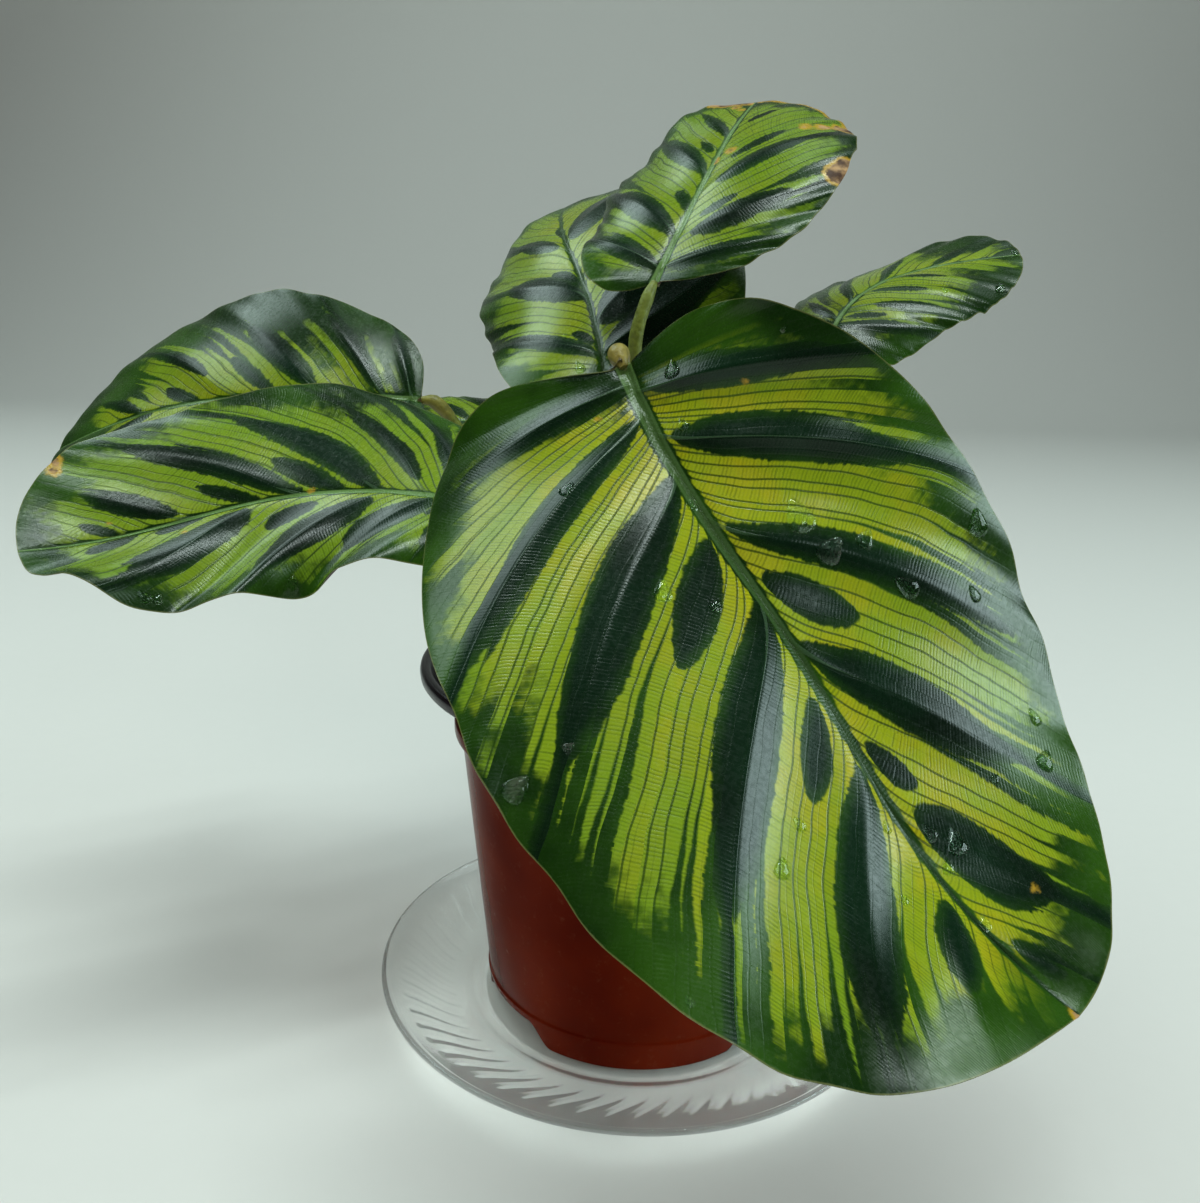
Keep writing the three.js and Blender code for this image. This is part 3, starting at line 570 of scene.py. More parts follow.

# The leaves: seven leaves of one plant, each with a stiff, patterned blade on a stalk of its own
# that rises from the soil. This table says how each one grows, and the two sections after it
# make the stalks and the blades from it.

# A blade starts at its base, where the stalk joins it, and detail is its mesh's rows and columns.
# Azimuth and elevation are its midrib's direction in degrees, at even steps from base to tip,
# and roll turns the blade about it. Left and right are its halves, seen from base to tip. Width
# is a half's greatest width, lobe how far it reaches back past the base, and skew and blunt
# shape its outline. Fold and curl bend it in degrees, wave is its edge's rise, number of waves
# and start, and veins its number of fine side veins. Each mark is a dark blotch: its row from
# base to tip, its start and end as shares of the way to the edge, and half its width. On the
# centre leaf's right half the marks are widened into painted shade, under the top leaf.
# Sun is how golden the light zones are, streaks the share of veins that widen into streaks,
# ruffle the edge's unevenness, margin the plain green edge's width and first light the row where
# the light zones start. Rib width is half the midrib's, pale rib how light it is and rib fades
# how soon that ends, and pleat is the height of the folds along the main veins. Each scorched
# spot has its half, row, share and radius. Joint is the swollen joint's radius, and the stalk
# runs from its root through the points of stalk.
LEAVES = [
    {
        "name": "front", "base": (-12, -74, 239), "length": 191, "detail": (230, 60),
        "azimuth": (-61, -38, -36, -47), "elevation": (-46, -45, -50, -15),
        "roll": (-44, -25, -8),
        "left": {
            "width": 70, "lobe": 0.03, "skew": 0.98, "blunt": (0.83, 1.05),
            "fold": (20, 10, 10), "curl": -7, "wave": (0.5, 3, 0), "veins": 58,
            "marks": [(0.285, 0.07, 0.95, 5.0), (0.430, 0.05, 0.78, 6.2),
                      (0.593, 0.04, 0.90, 5.2), (0.662, 0.05, 0.33, 5.2),
                      (0.738, 0.03, 0.82, 7.4), (0.817, 0.07, 0.28, 3.7),
                      (0.868, 0.12, 0.80, 8.6), (0.955, 0.20, 0.80, 3.5)],
        },
        "right": {
            "width": 82, "lobe": 0.09, "skew": 0.95, "blunt": (0.76, 0.78),
            "fold": (10, 6, 10), "curl": -26, "wave": (3.5, 3.2, 0.1), "veins": 62,
            "marks": [(0.235, 0.05, 0.90, 4.8), (0.370, 0.03, 0.92, 5.4),
                      (0.515, 0.01, 0.82, 7.8), (0.605, 0.03, 0.38, 5.8),
                      (0.695, 0.01, 0.82, 8.4), (0.772, 0.05, 0.35, 4.6),
                      (0.832, 0.04, 0.87, 7.4), (0.915, 0.12, 0.69, 5.0)],
        },
        "sun": 1.0, "streaks": 0.45, "ruffle": 0.9,
        "margin": 8, "first_light": 0.2, "pale_rib": 0.75, "rib_fades": 1.1, "rib_width": 2.3,
        "pleat": 2.2,
        "scorched": [("right", 1.0, 0.0, 2.0), ("left", 0.872, 0.69, 0.2),
                     ("left", 0.321, 0.43, -0.1), ("right", 0.286, 0.17, -0.3)],
        "joint": 3.1, "root": (-4, -15),
        "stalk": [(-7, -34, 196), (-11, -54, 231.5), (-12.8, -63, 239.6)],
    },
    {
        "name": "left", "base": (-52, -37, 193), "length": 151, "detail": (150, 44),
        "azimuth": (151, 173, 200, 212), "elevation": (6, -5, -14, 1), "roll": (23, 40, 28),
        "left": {
            "width": 40, "lobe": 0.08, "skew": 1, "blunt": (0.66, 0.87),
            "fold": (6, 23), "curl": -22, "wave": (5.5, 4, 0), "veins": 30,
            "marks": [(0.240, 0.05, 0.80, 4.0), (0.330, 0.05, 0.30, 2.5),
                      (0.430, 0.05, 0.68, 6.6), (0.565, 0.10, 0.84, 6.8),
                      (0.669, 0.11, 0.40, 4.0), (0.773, 0.10, 0.84, 6.8),
                      (0.851, 0.03, 0.24, 2.8), (0.907, 0.08, 0.52, 3.1)],
        },
        "right": {
            "width": 46, "lobe": 0.05, "skew": 1, "blunt": (0.72, 0.79),
            "fold": (5, 23), "curl": -19, "wave": (2.9, 2.9, 0), "veins": 33,
            "marks": [(0.240, 0.05, 0.85, 4.0), (0.350, 0.04, 0.80, 3.2),
                      (0.468, 0.11, 0.74, 3.4), (0.590, 0.02, 0.80, 5.8),
                      (0.662, 0.02, 0.38, 4.2), (0.724, 0.01, 0.85, 4.7),
                      (0.778, 0.02, 0.33, 2.4), (0.858, 0.08, 0.78, 4.2),
                      (0.920, 0.04, 0.44, 1.9)],
        },
        "sun": 0.35, "streaks": 0.35, "ruffle": 0.6,
        "margin": 6, "first_light": 0.12, "pale_rib": 1, "rib_fades": 0.1, "rib_width": 1.3,
        "pleat": 1.1,
        "scorched": [("right", 0.80, 0.99, 1.8), ("right", 0.82, 0.96, 1.2),
                     ("right", 0.70, 0.03, 0.3), ("right", 0.90, 0.30, 0.2),
                     ("right", 0.66, 0.55, -0.2), ("left", 0.82, 0.28, 0.1)],
        "joint": 2.4, "root": (-17, -9), "stalk": [(-27, -24, 155), (-37, -37, 182)],
    },
    {
        "name": "back_left", "base": (-83, 28, 218), "length": 150, "detail": (130, 40),
        "azimuth": (194, 165, 166), "elevation": (5, -9, -27), "roll": (41, 48, 31),
        "left": {
            "width": 44, "lobe": 0.06, "skew": 1, "blunt": (0.75, 0.85),
            "fold": (12, 8), "curl": -25, "wave": (0.5, 3, 0), "veins": 30,
            "marks": [(0.230, 0.05, 0.85, 3.6), (0.390, 0.03, 0.80, 4.2),
                      (0.480, 0.04, 0.35, 3.0), (0.570, 0.03, 0.80, 5.4),
                      (0.655, 0.04, 0.35, 3.0), (0.740, 0.03, 0.80, 5.0),
                      (0.860, 0.05, 0.70, 3.6)],
        },
        "right": {
            "width": 49, "lobe": 0.03, "skew": 1, "blunt": (0.77, 0.85),
            "fold": (13, 8), "curl": -21, "wave": (0.9, 3, 0), "veins": 33,
            "marks": [(0.210, 0.05, 0.85, 3.0), (0.375, 0.02, 0.84, 3.5),
                      (0.564, 0.06, 0.66, 5.2), (0.655, 0.04, 0.40, 3.0),
                      (0.730, 0.25, 0.80, 2.6), (0.800, 0.02, 0.30, 2.6),
                      (0.880, 0.05, 0.70, 2.6)],
        },
        "sun": 0.45, "streaks": 0.9, "ruffle": 0.6,
        "margin": 14, "first_light": 0.2, "pale_rib": 0.7, "rib_fades": 0, "rib_width": 1.2,
        "pleat": 1.3,
        "scorched": [],
        "joint": 2.6, "root": (-18, 7),
        "stalk": [(-42, 18, 158), (-63, 28, 194), (-70, 30, 208.5)],
    },
    {
        "name": "centre", "base": (-17, 12, 228), "length": 135, "detail": (130, 40),
        "azimuth": (104, 104, 86), "elevation": (52, 24, 15), "roll": (15, 29, 22),
        "left": {
            "width": 45, "lobe": 0.1, "skew": 0.99, "blunt": (0.75, 0.85),
            "fold": (8, 1), "curl": -41, "wave": (-2, 3, 0), "veins": 28,
            "marks": [(0.360, 0.02, 0.90, 4.2), (0.425, 0.03, 0.20, 2.3),
                      (0.618, 0.02, 0.66, 6.8), (0.673, 0.02, 0.25, 3.2),
                      (0.800, 0.10, 0.70, 4.6), (0.870, 0.02, 0.14, 2.2)],
        },
        "right": {
            "width": 62, "lobe": 0.12, "skew": 0.98, "blunt": (0.73, 0.84),
            "fold": (11, 4), "curl": -26, "wave": (0.5, 3, 0), "veins": 32,
            # These marks are widened until the half reads almost black: painted shade where the top
            # leaf covers this half
            "marks": [(0.230, 0.03, 0.98, 9.0), (0.370, 0.02, 0.97, 11.0),
                      (0.520, 0.02, 0.97, 12.5), (0.680, 0.03, 0.96, 12.5),
                      (0.830, 0.05, 0.90, 10.0)],
        },
        "sun": 0.45, "streaks": 0.4, "ruffle": 0.8,
        # The low pale rib keeps the centre midrib dark, as part of the same painted shade
        "margin": 5, "first_light": 0.12, "pale_rib": 0.1, "rib_fades": 0, "rib_width": 1.2,
        "pleat": 1.3,
        "scorched": [],
        "joint": 2.4, "root": (-6, 14), "stalk": [(-10, 8, 180), (-14, 5, 210)],
    },
    {
        "name": "top", "base": (-3, -26, 261), "length": 98, "detail": (130, 40),
        "azimuth": (55, 63, 68), "elevation": (50, 40, 22), "roll": (-8, 10, 0),
        "left": {
            "width": 40, "lobe": 0.12, "skew": 1.03, "blunt": (1.02, 0.8),
            "fold": (17, 3), "curl": -34, "wave": (2, 3, -0.3), "veins": 23,
            "marks": [(0.300, 0.03, 0.94, 3.8), (0.512, 0.03, 0.90, 4.8),
                      (0.628, 0.02, 0.22, 2.2), (0.742, 0.02, 0.86, 3.8),
                      (0.798, 0.09, 0.36, 1.5), (0.865, 0.03, 0.76, 2.4)],
        },
        "right": {
            "width": 45, "lobe": -0.01, "skew": 1.01, "blunt": (0.77, 0.86),
            "fold": (16, 4), "curl": -41, "wave": (0.5, 3, 0.5), "veins": 25,
            "marks": [(0.305, 0.06, 0.84, 3.2), (0.475, 0.12, 0.76, 4.6),
                      (0.550, 0.12, 0.36, 2.2), (0.665, 0.14, 0.72, 4.0),
                      (0.745, 0.18, 0.62, 2.2), (0.890, 0.20, 0.60, 1.5)],
        },
        "sun": 0.35, "streaks": 0.35, "ruffle": 0.9,
        "margin": 4, "first_light": 0.12, "pale_rib": 1, "rib_fades": 0.1, "rib_width": 1.5,
        "pleat": 1.0,
        "scorched": [*(("left", row, 1.0, 3.4) for row in np.linspace(0.92, 0.99, 7)),
                     *(("right", row, 1.0, 0.9) for row in np.linspace(0.72, 0.99, 20)),
                     ("left", 0.95, 0.30, 0.7), ("left", 0.95, 0.60, 1.0),
                     ("right", 0.72, 0.83, 2.3), ("right", 0.74, 0.72, 1.8),
                     ("right", 0.70, 0.96, 4.0), ("right", 0.485, 0.97, 4.8),
                     ("right", 0.50, 1.0, 4.2), ("right", 0.78, 0.14, 1.3),
                     ("right", 0.79, 0.02, 1.0)],
        "joint": 2.0, "root": (3, -1), "stalk": [(-4, -16, 190), (-8, -28, 235), (-8, -30, 246)],
    },
    {
        "name": "back_right", "base": (58.5, 13.5, 244.5), "length": 98, "detail": (110, 36),
        "azimuth": (66, 30, -6), "elevation": (37, 15, 7), "roll": (0, -6, -27),
        "left": {
            "width": 31, "lobe": 0.06, "skew": 1, "blunt": (0.75, 0.91),
            "fold": (-6, 11), "curl": -27, "wave": (1.2, 3, 0), "veins": 20,
            "marks": [(0.260, 0.05, 0.85, 2.4), (0.400, 0.03, 0.60, 2.0),
                      (0.560, 0.03, 0.70, 2.2), (0.710, 0.03, 0.70, 2.2),
                      (0.850, 0.05, 0.70, 2.0)],
        },
        "right": {
            "width": 36, "lobe": 0.1, "skew": 0.98, "blunt": (0.68, 0.91),
            "fold": (-9, 8), "curl": -31, "wave": (0.6, 3, 0), "veins": 20,
            "marks": [(0.330, 0.05, 0.80, 2.6), (0.420, 0.05, 0.40, 1.4),
                      (0.500, 0.20, 0.75, 2.0), (0.620, 0.06, 0.53, 1.8),
                      (0.740, 0.04, 0.50, 1.4)],
        },
        "sun": 0.5, "streaks": 0.2, "ruffle": 1.0,
        "margin": 9, "first_light": 0.12, "pale_rib": 1, "rib_fades": 0.1, "rib_width": 0.9,
        "pleat": 0.8,
        "scorched": [],
        "joint": 2.0, "root": (14, 6), "stalk": [(34, 2, 180), (50, 2, 228)],
    },
    {
        "name": "young", "base": (-46, 50, 205), "length": 45, "detail": (60, 20),
        "azimuth": (178, 181, 184), "elevation": (12, 4, -8), "roll": (36, 36, 36),
        "left": {
            "width": 16, "lobe": 0.06, "skew": 1, "blunt": (0.75, 0.85),
            "fold": (12, 8), "curl": -25, "wave": (0, 3, 0), "veins": 12,
            "marks": [(0.300, 0.05, 0.80, 1.8), (0.550, 0.05, 0.75, 2.2),
                      (0.780, 0.05, 0.70, 1.8)],
        },
        "right": {
            "width": 20, "lobe": 0.05, "skew": 1, "blunt": (0.75, 0.85),
            "fold": (6, 4), "curl": -40, "wave": (0, 3, 0), "veins": 12,
            "marks": [(0.280, 0.05, 0.80, 2.0), (0.520, 0.05, 0.80, 2.6),
                      (0.760, 0.05, 0.70, 2.0)],
        },
        "sun": 0.4, "streaks": 0.4, "ruffle": 0.3,
        "margin": 2.5, "first_light": 0.15, "pale_rib": 1, "rib_fades": 0, "rib_width": 0.6,
        "pleat": 0.2,
        "scorched": [],
        "joint": 1.6, "root": (-14, 24), "stalk": [(-24, 38, 175), (-32, 46, 195)],
    },
]


def along(values, place):
    """A smooth run through values spaced evenly from 0 to 1."""
    v = np.array([2 * values[0] - values[1], *values, 2 * values[-1] - values[-2]], float)
    last = len(values) - 1
    spot = np.clip(place, 0, 1) * last
    i = np.minimum(spot.astype(int), last - 1)
    f = spot - i
    a, b, c, d = v[i], v[i + 1], v[i + 2], v[i + 3]
    return 0.5 * (2 * b + (c - a) * f + (2 * a - 5 * b + 4 * c - d) * f**2
                  + (3 * b - a - 3 * c + d) * f**3)


def blade_directions(leaf, place):
    """Along the midrib, to its right and out of its upper face, at shares of its length."""
    azimuth, elevation, roll = (
        np.radians(along(leaf[name], place))[..., None]
        for name in ("azimuth", "elevation", "roll")
    )
    level = np.concatenate([np.cos(azimuth), np.sin(azimuth), 0 * azimuth], -1)
    ahead = level * np.cos(elevation) + np.array([0, 0, 1]) * np.sin(elevation)
    flat_right = np.concatenate([np.sin(azimuth), -np.cos(azimuth), 0 * azimuth], -1)
    flat_up = np.cross(flat_right, ahead)
    right = flat_right * np.cos(roll) + flat_up * np.sin(roll)
    up = flat_up * np.cos(roll) - flat_right * np.sin(roll)
    return ahead, right, up


# The stalks: a slim, slightly ribbed stalk for each leaf, reddish at the soil and yellow-green
# above, with the swollen yellow-brown joint that turns the blade to the light.
STALK_DEPTH = 14
STALK_FOOT_RADIUS = 3.1
STALK_TOP_RADIUS = 2.0
JOINT_LENGTH = 14
JOINT_TIP_RADIUS = 1.2
STALK_STEPS = 90
WIDEST_SWELLING = 1.1


def smooth_path(points, steps):
    """Evenly spaced points on a curve that runs smoothly through the given ones."""
    given_points = np.array(points, float)
    before = 2 * given_points[0] - given_points[1]
    after = 2 * given_points[-1] - given_points[-2]
    knots = np.vstack([before, given_points, after])
    dense = []
    for p0, p1, p2, p3 in zip(knots, knots[1:], knots[2:], knots[3:]):
        gaps = [np.linalg.norm(b - a) ** 0.5 for a, b in ((p0, p1), (p1, p2), (p2, p3))]
        t0, t1, t2, t3 = np.cumsum([0, *gaps])
        t = np.linspace(t1, t2, 40, endpoint=False)[:, None]
        a1 = (t1 - t) / (t1 - t0) * p0 + (t - t0) / (t1 - t0) * p1
        a2 = (t2 - t) / (t2 - t1) * p1 + (t - t1) / (t2 - t1) * p2
        a3 = (t3 - t) / (t3 - t2) * p2 + (t - t2) / (t3 - t2) * p3
        b1 = (t2 - t) / (t2 - t0) * a1 + (t - t0) / (t2 - t0) * a2
        b2 = (t3 - t) / (t3 - t1) * a2 + (t - t1) / (t3 - t1) * a3
        dense.append((t2 - t) / (t2 - t1) * b1 + (t - t1) / (t2 - t1) * b2)
    dense = np.vstack([*dense, given_points[-1]])
    run = np.concatenate([[0], np.cumsum(np.linalg.norm(np.diff(dense, axis=0), axis=1))])
    even = np.linspace(0, run[-1], steps)
    return np.stack([np.interp(even, run, dense[:, k]) for k in range(3)], 1), even


stem, given, result = new_tree(
    "swept_stalk",
    "GeometryNodeTree",
    {
        "Geometry": ("NodeSocketGeometry", None),
        "Sides": ("NodeSocketInt", 28),
        "Material": ("NodeSocketMaterial", None),
    },
    {"Geometry": "NodeSocketGeometry"},
)
thickness = add_node(stem, "GeometryNodeInputNamedAttribute", {"Name": "thickness"}).outputs[0]
line = add_node(stem, "GeometryNodeMeshToCurve", {"Mesh": given["Geometry"]}).outputs[0]
ring = add_node(stem, "GeometryNodeCurvePrimitiveCircle", {
    "Resolution": given["Sides"], "Radius": 1.0})
tube = add_node(stem, "GeometryNodeCurveToMesh", {
    "Curve": line, "Profile Curve": ring.outputs[0], "Scale": thickness, "Fill Caps": True})
finish_geometry(stem, tube.outputs[0], given, result)


def field(tree, name):
    """The three numbers that a piece keeps for its corners under one name."""
    node = add_node(tree, "ShaderNodeAttribute", attribute_name=name)
    return add_node(tree, "ShaderNodeSeparateXYZ", {0: node.outputs["Vector"]}).outputs


STALK_RED = (0.090, 0.036, 0.014, 1)
STALK_GREEN = (0.190, 0.230, 0.040, 1)
JOINT_BROWN = (0.300, 0.245, 0.060, 1)
stalk_finish, tree, shader = new_material("stalk_skin")
climbed, to_blade, swelling = field(tree, "reach")
streaks = object_noise(tree, 420, 4, 0.6)
patches = ease(tree, object_noise(tree, 70, 3), 0.35, 0.7, -0.15, 0.15)
climb = calc(tree, "ADD", climbed, patches)
colour = mix_colours(tree, ease(tree, climb, 0.02, 0.45), STALK_RED, STALK_GREEN)
browned = calc(tree, "MULTIPLY", ease(tree, to_blade, 15, 10), swelling)
colour = mix_colours(tree, browned, colour, JOINT_BROWN)
shade = ease(tree, streaks, 0.3, 0.7, 0.62, 1.0)
tree.links.new(mix_colours(tree, 1.0, colour, shade, "MULTIPLY"), shader.inputs["Base Color"])
tree.links.new(ease(tree, streaks, 0.3, 0.7, 0.36, 0.52), shader.inputs["Roughness"])
tree.links.new(bump(tree, streaks, 0.5), shader.inputs["Normal"])

for leaf in LEAVES:
    ahead = blade_directions(leaf, np.array([0.0]))[0][0]
    base = np.array(leaf["base"], float)
    x, y = leaf["root"]
    path, run = smooth_path([
        (x, y, SOIL_TOP - STALK_DEPTH), (x, y, SOIL_TOP), (x, y, SOIL_TOP + 10),
        *leaf["stalk"], base - 4.5 * ahead, base - 0.2 * ahead,
    ], STALK_STEPS)
    to_tip = run[-1] - run
    slim = STALK_TOP_RADIUS + (STALK_FOOT_RADIUS - STALK_TOP_RADIUS) * (to_tip / run[-1]) ** 2
    swell = np.sin(pi * np.minimum(to_tip / JOINT_LENGTH, 1)) ** 0.7
    taper = np.minimum(to_tip / (0.35 * JOINT_LENGTH), 1)
    full = slim + (leaf["joint"] - STALK_TOP_RADIUS) * swell
    size = JOINT_TIP_RADIUS + (full - JOINT_TIP_RADIUS) * taper
    wobble = 1 + 0.03 * np.sin(run / 5.3) + 0.02 * np.sin(run / 2.1 + x)
    edges = [(i, i + 1) for i in range(STALK_STEPS - 1)]
    stalk = new_piece("petiole_" + leaf["name"], path, [], edges)
    swelling = np.full(STALK_STEPS, (leaf["joint"] - STALK_TOP_RADIUS) / WIDEST_SWELLING)
    keep_values(stalk, "thickness", size * wobble * MM)
    keep_values(stalk, "reach", np.stack([run / run[-1], to_tip, swelling], 1))
    grow(stalk, stem, {"Material": stalk_finish})
    settle(stalk, "stalk", "stalk_" + leaf["name"])

# The blades: thin, glossy leaves, purple below, with a sunken midrib and side veins that bend
# from it to the tip. Dark blotches lie on the main side veins, with yellow-green between them
# and a plain green margin. A blade is two grids of points, one for each face, joined at the edge.
BLADE_THICKNESS = 0.45
EDGE_THICKNESS = 0.25
DIP = 0.45
KEEL = 1.3
MIDRIB_STEPS = 96
VEIN_CROWDING = 2.4
VEIN_BEND = 0.35
VEIN_HUG = 0.16
VEIN_HUG_REACH = 0.06
LOBE_END = 0.34
COLUMN_CROWDING = 1.2
EDGE_TAPER = 1.5
RIB_END = 1.1
FULL_PLEAT = 0.07
FIRST_VALLEY = 0.08
LAST_VALLEY = 0.06
LAST_LIGHT = 0.985
NO_MARK = -9.0
MAIN_MARK = 0.45
MARGIN_TEETH = 2.4
MARGIN_MOTTLE = 24


def midrib_at(leaf, place):
    """Points of the midrib at shares of its length, straight on past its ends."""
    middles = (np.arange(MIDRIB_STEPS) + 0.5) / MIDRIB_STEPS
    steps = blade_directions(leaf, middles)[0] * leaf["length"] / MIDRIB_STEPS
    points = np.vstack([leaf["base"], leaf["base"] + np.cumsum(steps, 0)])
    spot = np.clip(place, 0, 1) * MIDRIB_STEPS
    i = np.minimum(spot.astype(int), MIDRIB_STEPS - 1)
    f = (spot - i)[..., None]
    first, last = blade_directions(leaf, np.array([0.0, 1.0]))[0]
    before = np.minimum(place, 0)[..., None] * leaf["length"]
    after = np.maximum(place - 1, 0)[..., None] * leaf["length"]
    return points[i] * (1 - f) + points[i + 1] * f + before * first + after * last


def flat_point(leaf, half, row, share):
    """Distance from the midrib, and place along it as a share of the length."""
    blunt = half["blunt"][0] + (half["blunt"][1] - half["blunt"][0]) * row
    across = half["width"] * np.maximum(np.sin(pi * row ** half["skew"]), 0) ** blunt
    nicks = 0.006 * np.sin(2 * pi * 7.1 * row) + 0.005 * np.sin(2 * pi * 12.3 * row + 1)
    across = across * (1 + leaf["ruffle"] * nicks)
    edge = (1 - np.cos(pi * row)) / 2
    edge = edge - half["lobe"] * np.sin(pi * np.minimum(row / LOBE_END, 1))
    start = row**VEIN_CROWDING
    swing = (1 - VEIN_BEND) * share + VEIN_BEND * share**2
    hug = VEIN_HUG * start * (1 - start) * np.exp(-share / VEIN_HUG_REACH)
    return across * share, start + (edge - start) * swing - hug


def blade_sheet(leaf, half, side, row, share):
    """Points of one half of the blade's middle surface, folded, curled and waved."""
    across, reach = flat_point(leaf, half, row, share)
    _, right, up = blade_directions(leaf, reach)
    fold = np.radians(along(half["fold"], reach))
    bend = np.radians(half["curl"]) * across / half["width"]
    chord = across * np.sinc(bend / (2 * pi))
    rise, waves, phase = half["wave"]
    wave = rise * share**2 * np.sin(2 * pi * (waves * row + phase)) * np.sin(pi * row) ** 0.5
    ruffle = np.sin(2 * pi * (9.3 * row + side * 0.2)) + 0.7 * np.sin(2 * pi * 14.7 * row)
    wave = wave + 0.5 * leaf["ruffle"] * share**4 * ruffle * np.sin(pi * row) ** 0.5
    sideways = chord * np.cos(fold + bend / 2) - wave * np.sin(fold + bend)
    upward = chord * np.sin(fold + bend / 2) + wave * np.cos(fold + bend)
    return (midrib_at(leaf, reach) + side * sideways[..., None] * right
            + upward[..., None] * up), across


def main_veins(half):
    """The rows of the main side veins, which run through the long blotches."""
    return np.array([mark[0] for mark in half["marks"] if mark[2] - mark[1] > MAIN_MARK])


def blotches(half, row, share, run, wide):
    """How deep each place lies inside the nearest dark blotch, in millimetres."""
    depth = np.full(row.shape, NO_MARK)
    total = run[:, -1:]
    for centre, start, end, half_width in half["marks"]:
        place = (share - start) / (end - start)
        body = np.sin(pi * np.clip(place, 0, 1) ** 0.9) ** 0.62
        aside = np.abs(row - centre) * wide
        beyond = np.maximum(np.maximum(start - share, share - end), 0) * total
        depth = np.maximum(depth, half_width * body - aside - beyond)
        if end - start > MAIN_MARK:
            tail = 0.16 * half_width
            depth = np.maximum(depth, tail - aside - np.maximum(0.5 - place, 0) * total)
    return depth


def pleats(leaf, half, row, share):
    """Roof-like ridges, with a sharp crest on each main side vein and round valleys between."""
    crests = main_veins(half)
    middles = (crests[1:] + crests[:-1]) / 2
    last = min(crests[-1] + LAST_VALLEY, 0.99)
    valleys = np.array([crests[0] - FIRST_VALLEY, *middles, last])
    knots = np.sort(np.concatenate([crests, valleys]))
    aside = np.interp(row, knots, np.arange(len(knots)) % 2 == 0)
    room = np.minimum(crests - valleys[:-1], valleys[1:] - crests) / FULL_PLEAT
    crest_height = leaf["pleat"] * np.minimum(room, 1)
    nearest = np.abs(row[..., None] - crests).argmin(-1)
    across = np.sin(pi * np.clip(share, 0, 1) ** 0.75) ** 0.8
    return crest_height[nearest] * across * (1 - np.sin(aside * pi / 2))


def half_blade(leaf, name):
    """Points and pattern fields of one half, in rows from base to tip, midrib to edge."""
    half = leaf[name]
    side = 1 if name == "right" else -1
    rows, columns = leaf["detail"]
    shares = np.linspace(0, 1, columns + 1) ** COLUMN_CROWDING
    row, share = np.meshgrid(np.linspace(0, 1, rows + 1), shares, indexing="ij")
    points, across = blade_sheet(leaf, half, side, row, share)
    steps = np.linalg.norm(np.diff(points, axis=1), axis=2)
    run = np.concatenate([np.zeros((rows + 1, 1)), np.cumsum(steps, 1)], 1)
    by_row = np.gradient(points, axis=0) * rows
    outward = np.gradient(points, axis=1)
    outward /= np.maximum(np.linalg.norm(outward, axis=2, keepdims=True), 1e-9)
    slant = np.sum(by_row * outward, 2)
    wide = np.linalg.norm(by_row - outward * slant[..., None], axis=2)
    edge_line = points[:, -1]
    to_edge = np.array([
        np.linalg.norm(line[:, None] - edge_line[None], axis=2).min(1) for line in points
    ])
    scorch = np.full(row.shape, NO_MARK)
    for where, spot_row, spot_share, radius in leaf["scorched"]:
        if where == name:
            spot = np.array([[spot_row]]), np.array([[spot_share]])
            centre = blade_sheet(leaf, half, side, *spot)[0][0, 0]
            scorch = np.maximum(scorch, radius - np.linalg.norm(points - centre, axis=2))
    first = leaf["first_light"]
    light = np.clip((row - first) / 0.08, 0, 1) * np.clip((LAST_LIGHT - row) / 0.05, 0, 1)
    rib = across - leaf["rib_width"] * (RIB_END - row) ** 0.6
    crest = np.abs(row[..., None] - main_veins(half)).min(-1) * wide
    fields = {
        "crests": (crest, share, slant / half["veins"]),
        "veins": (row * half["veins"], wide / half["veins"], run),
        "zones": (blotches(half, row, share, run, wide), to_edge, rib),
        "tints": (light, scorch, leaf["pale_rib"] * np.maximum(1 - leaf["rib_fades"] * row, 0)),
    }
    fields = {key: np.stack(value, 2) for key, value in fields.items()}
    groove = np.exp(-((across / (0.9 * leaf["rib_width"])) ** 2)) * (RIB_END - row)
    return points, fields, pleats(leaf, half, row, share), groove, to_edge


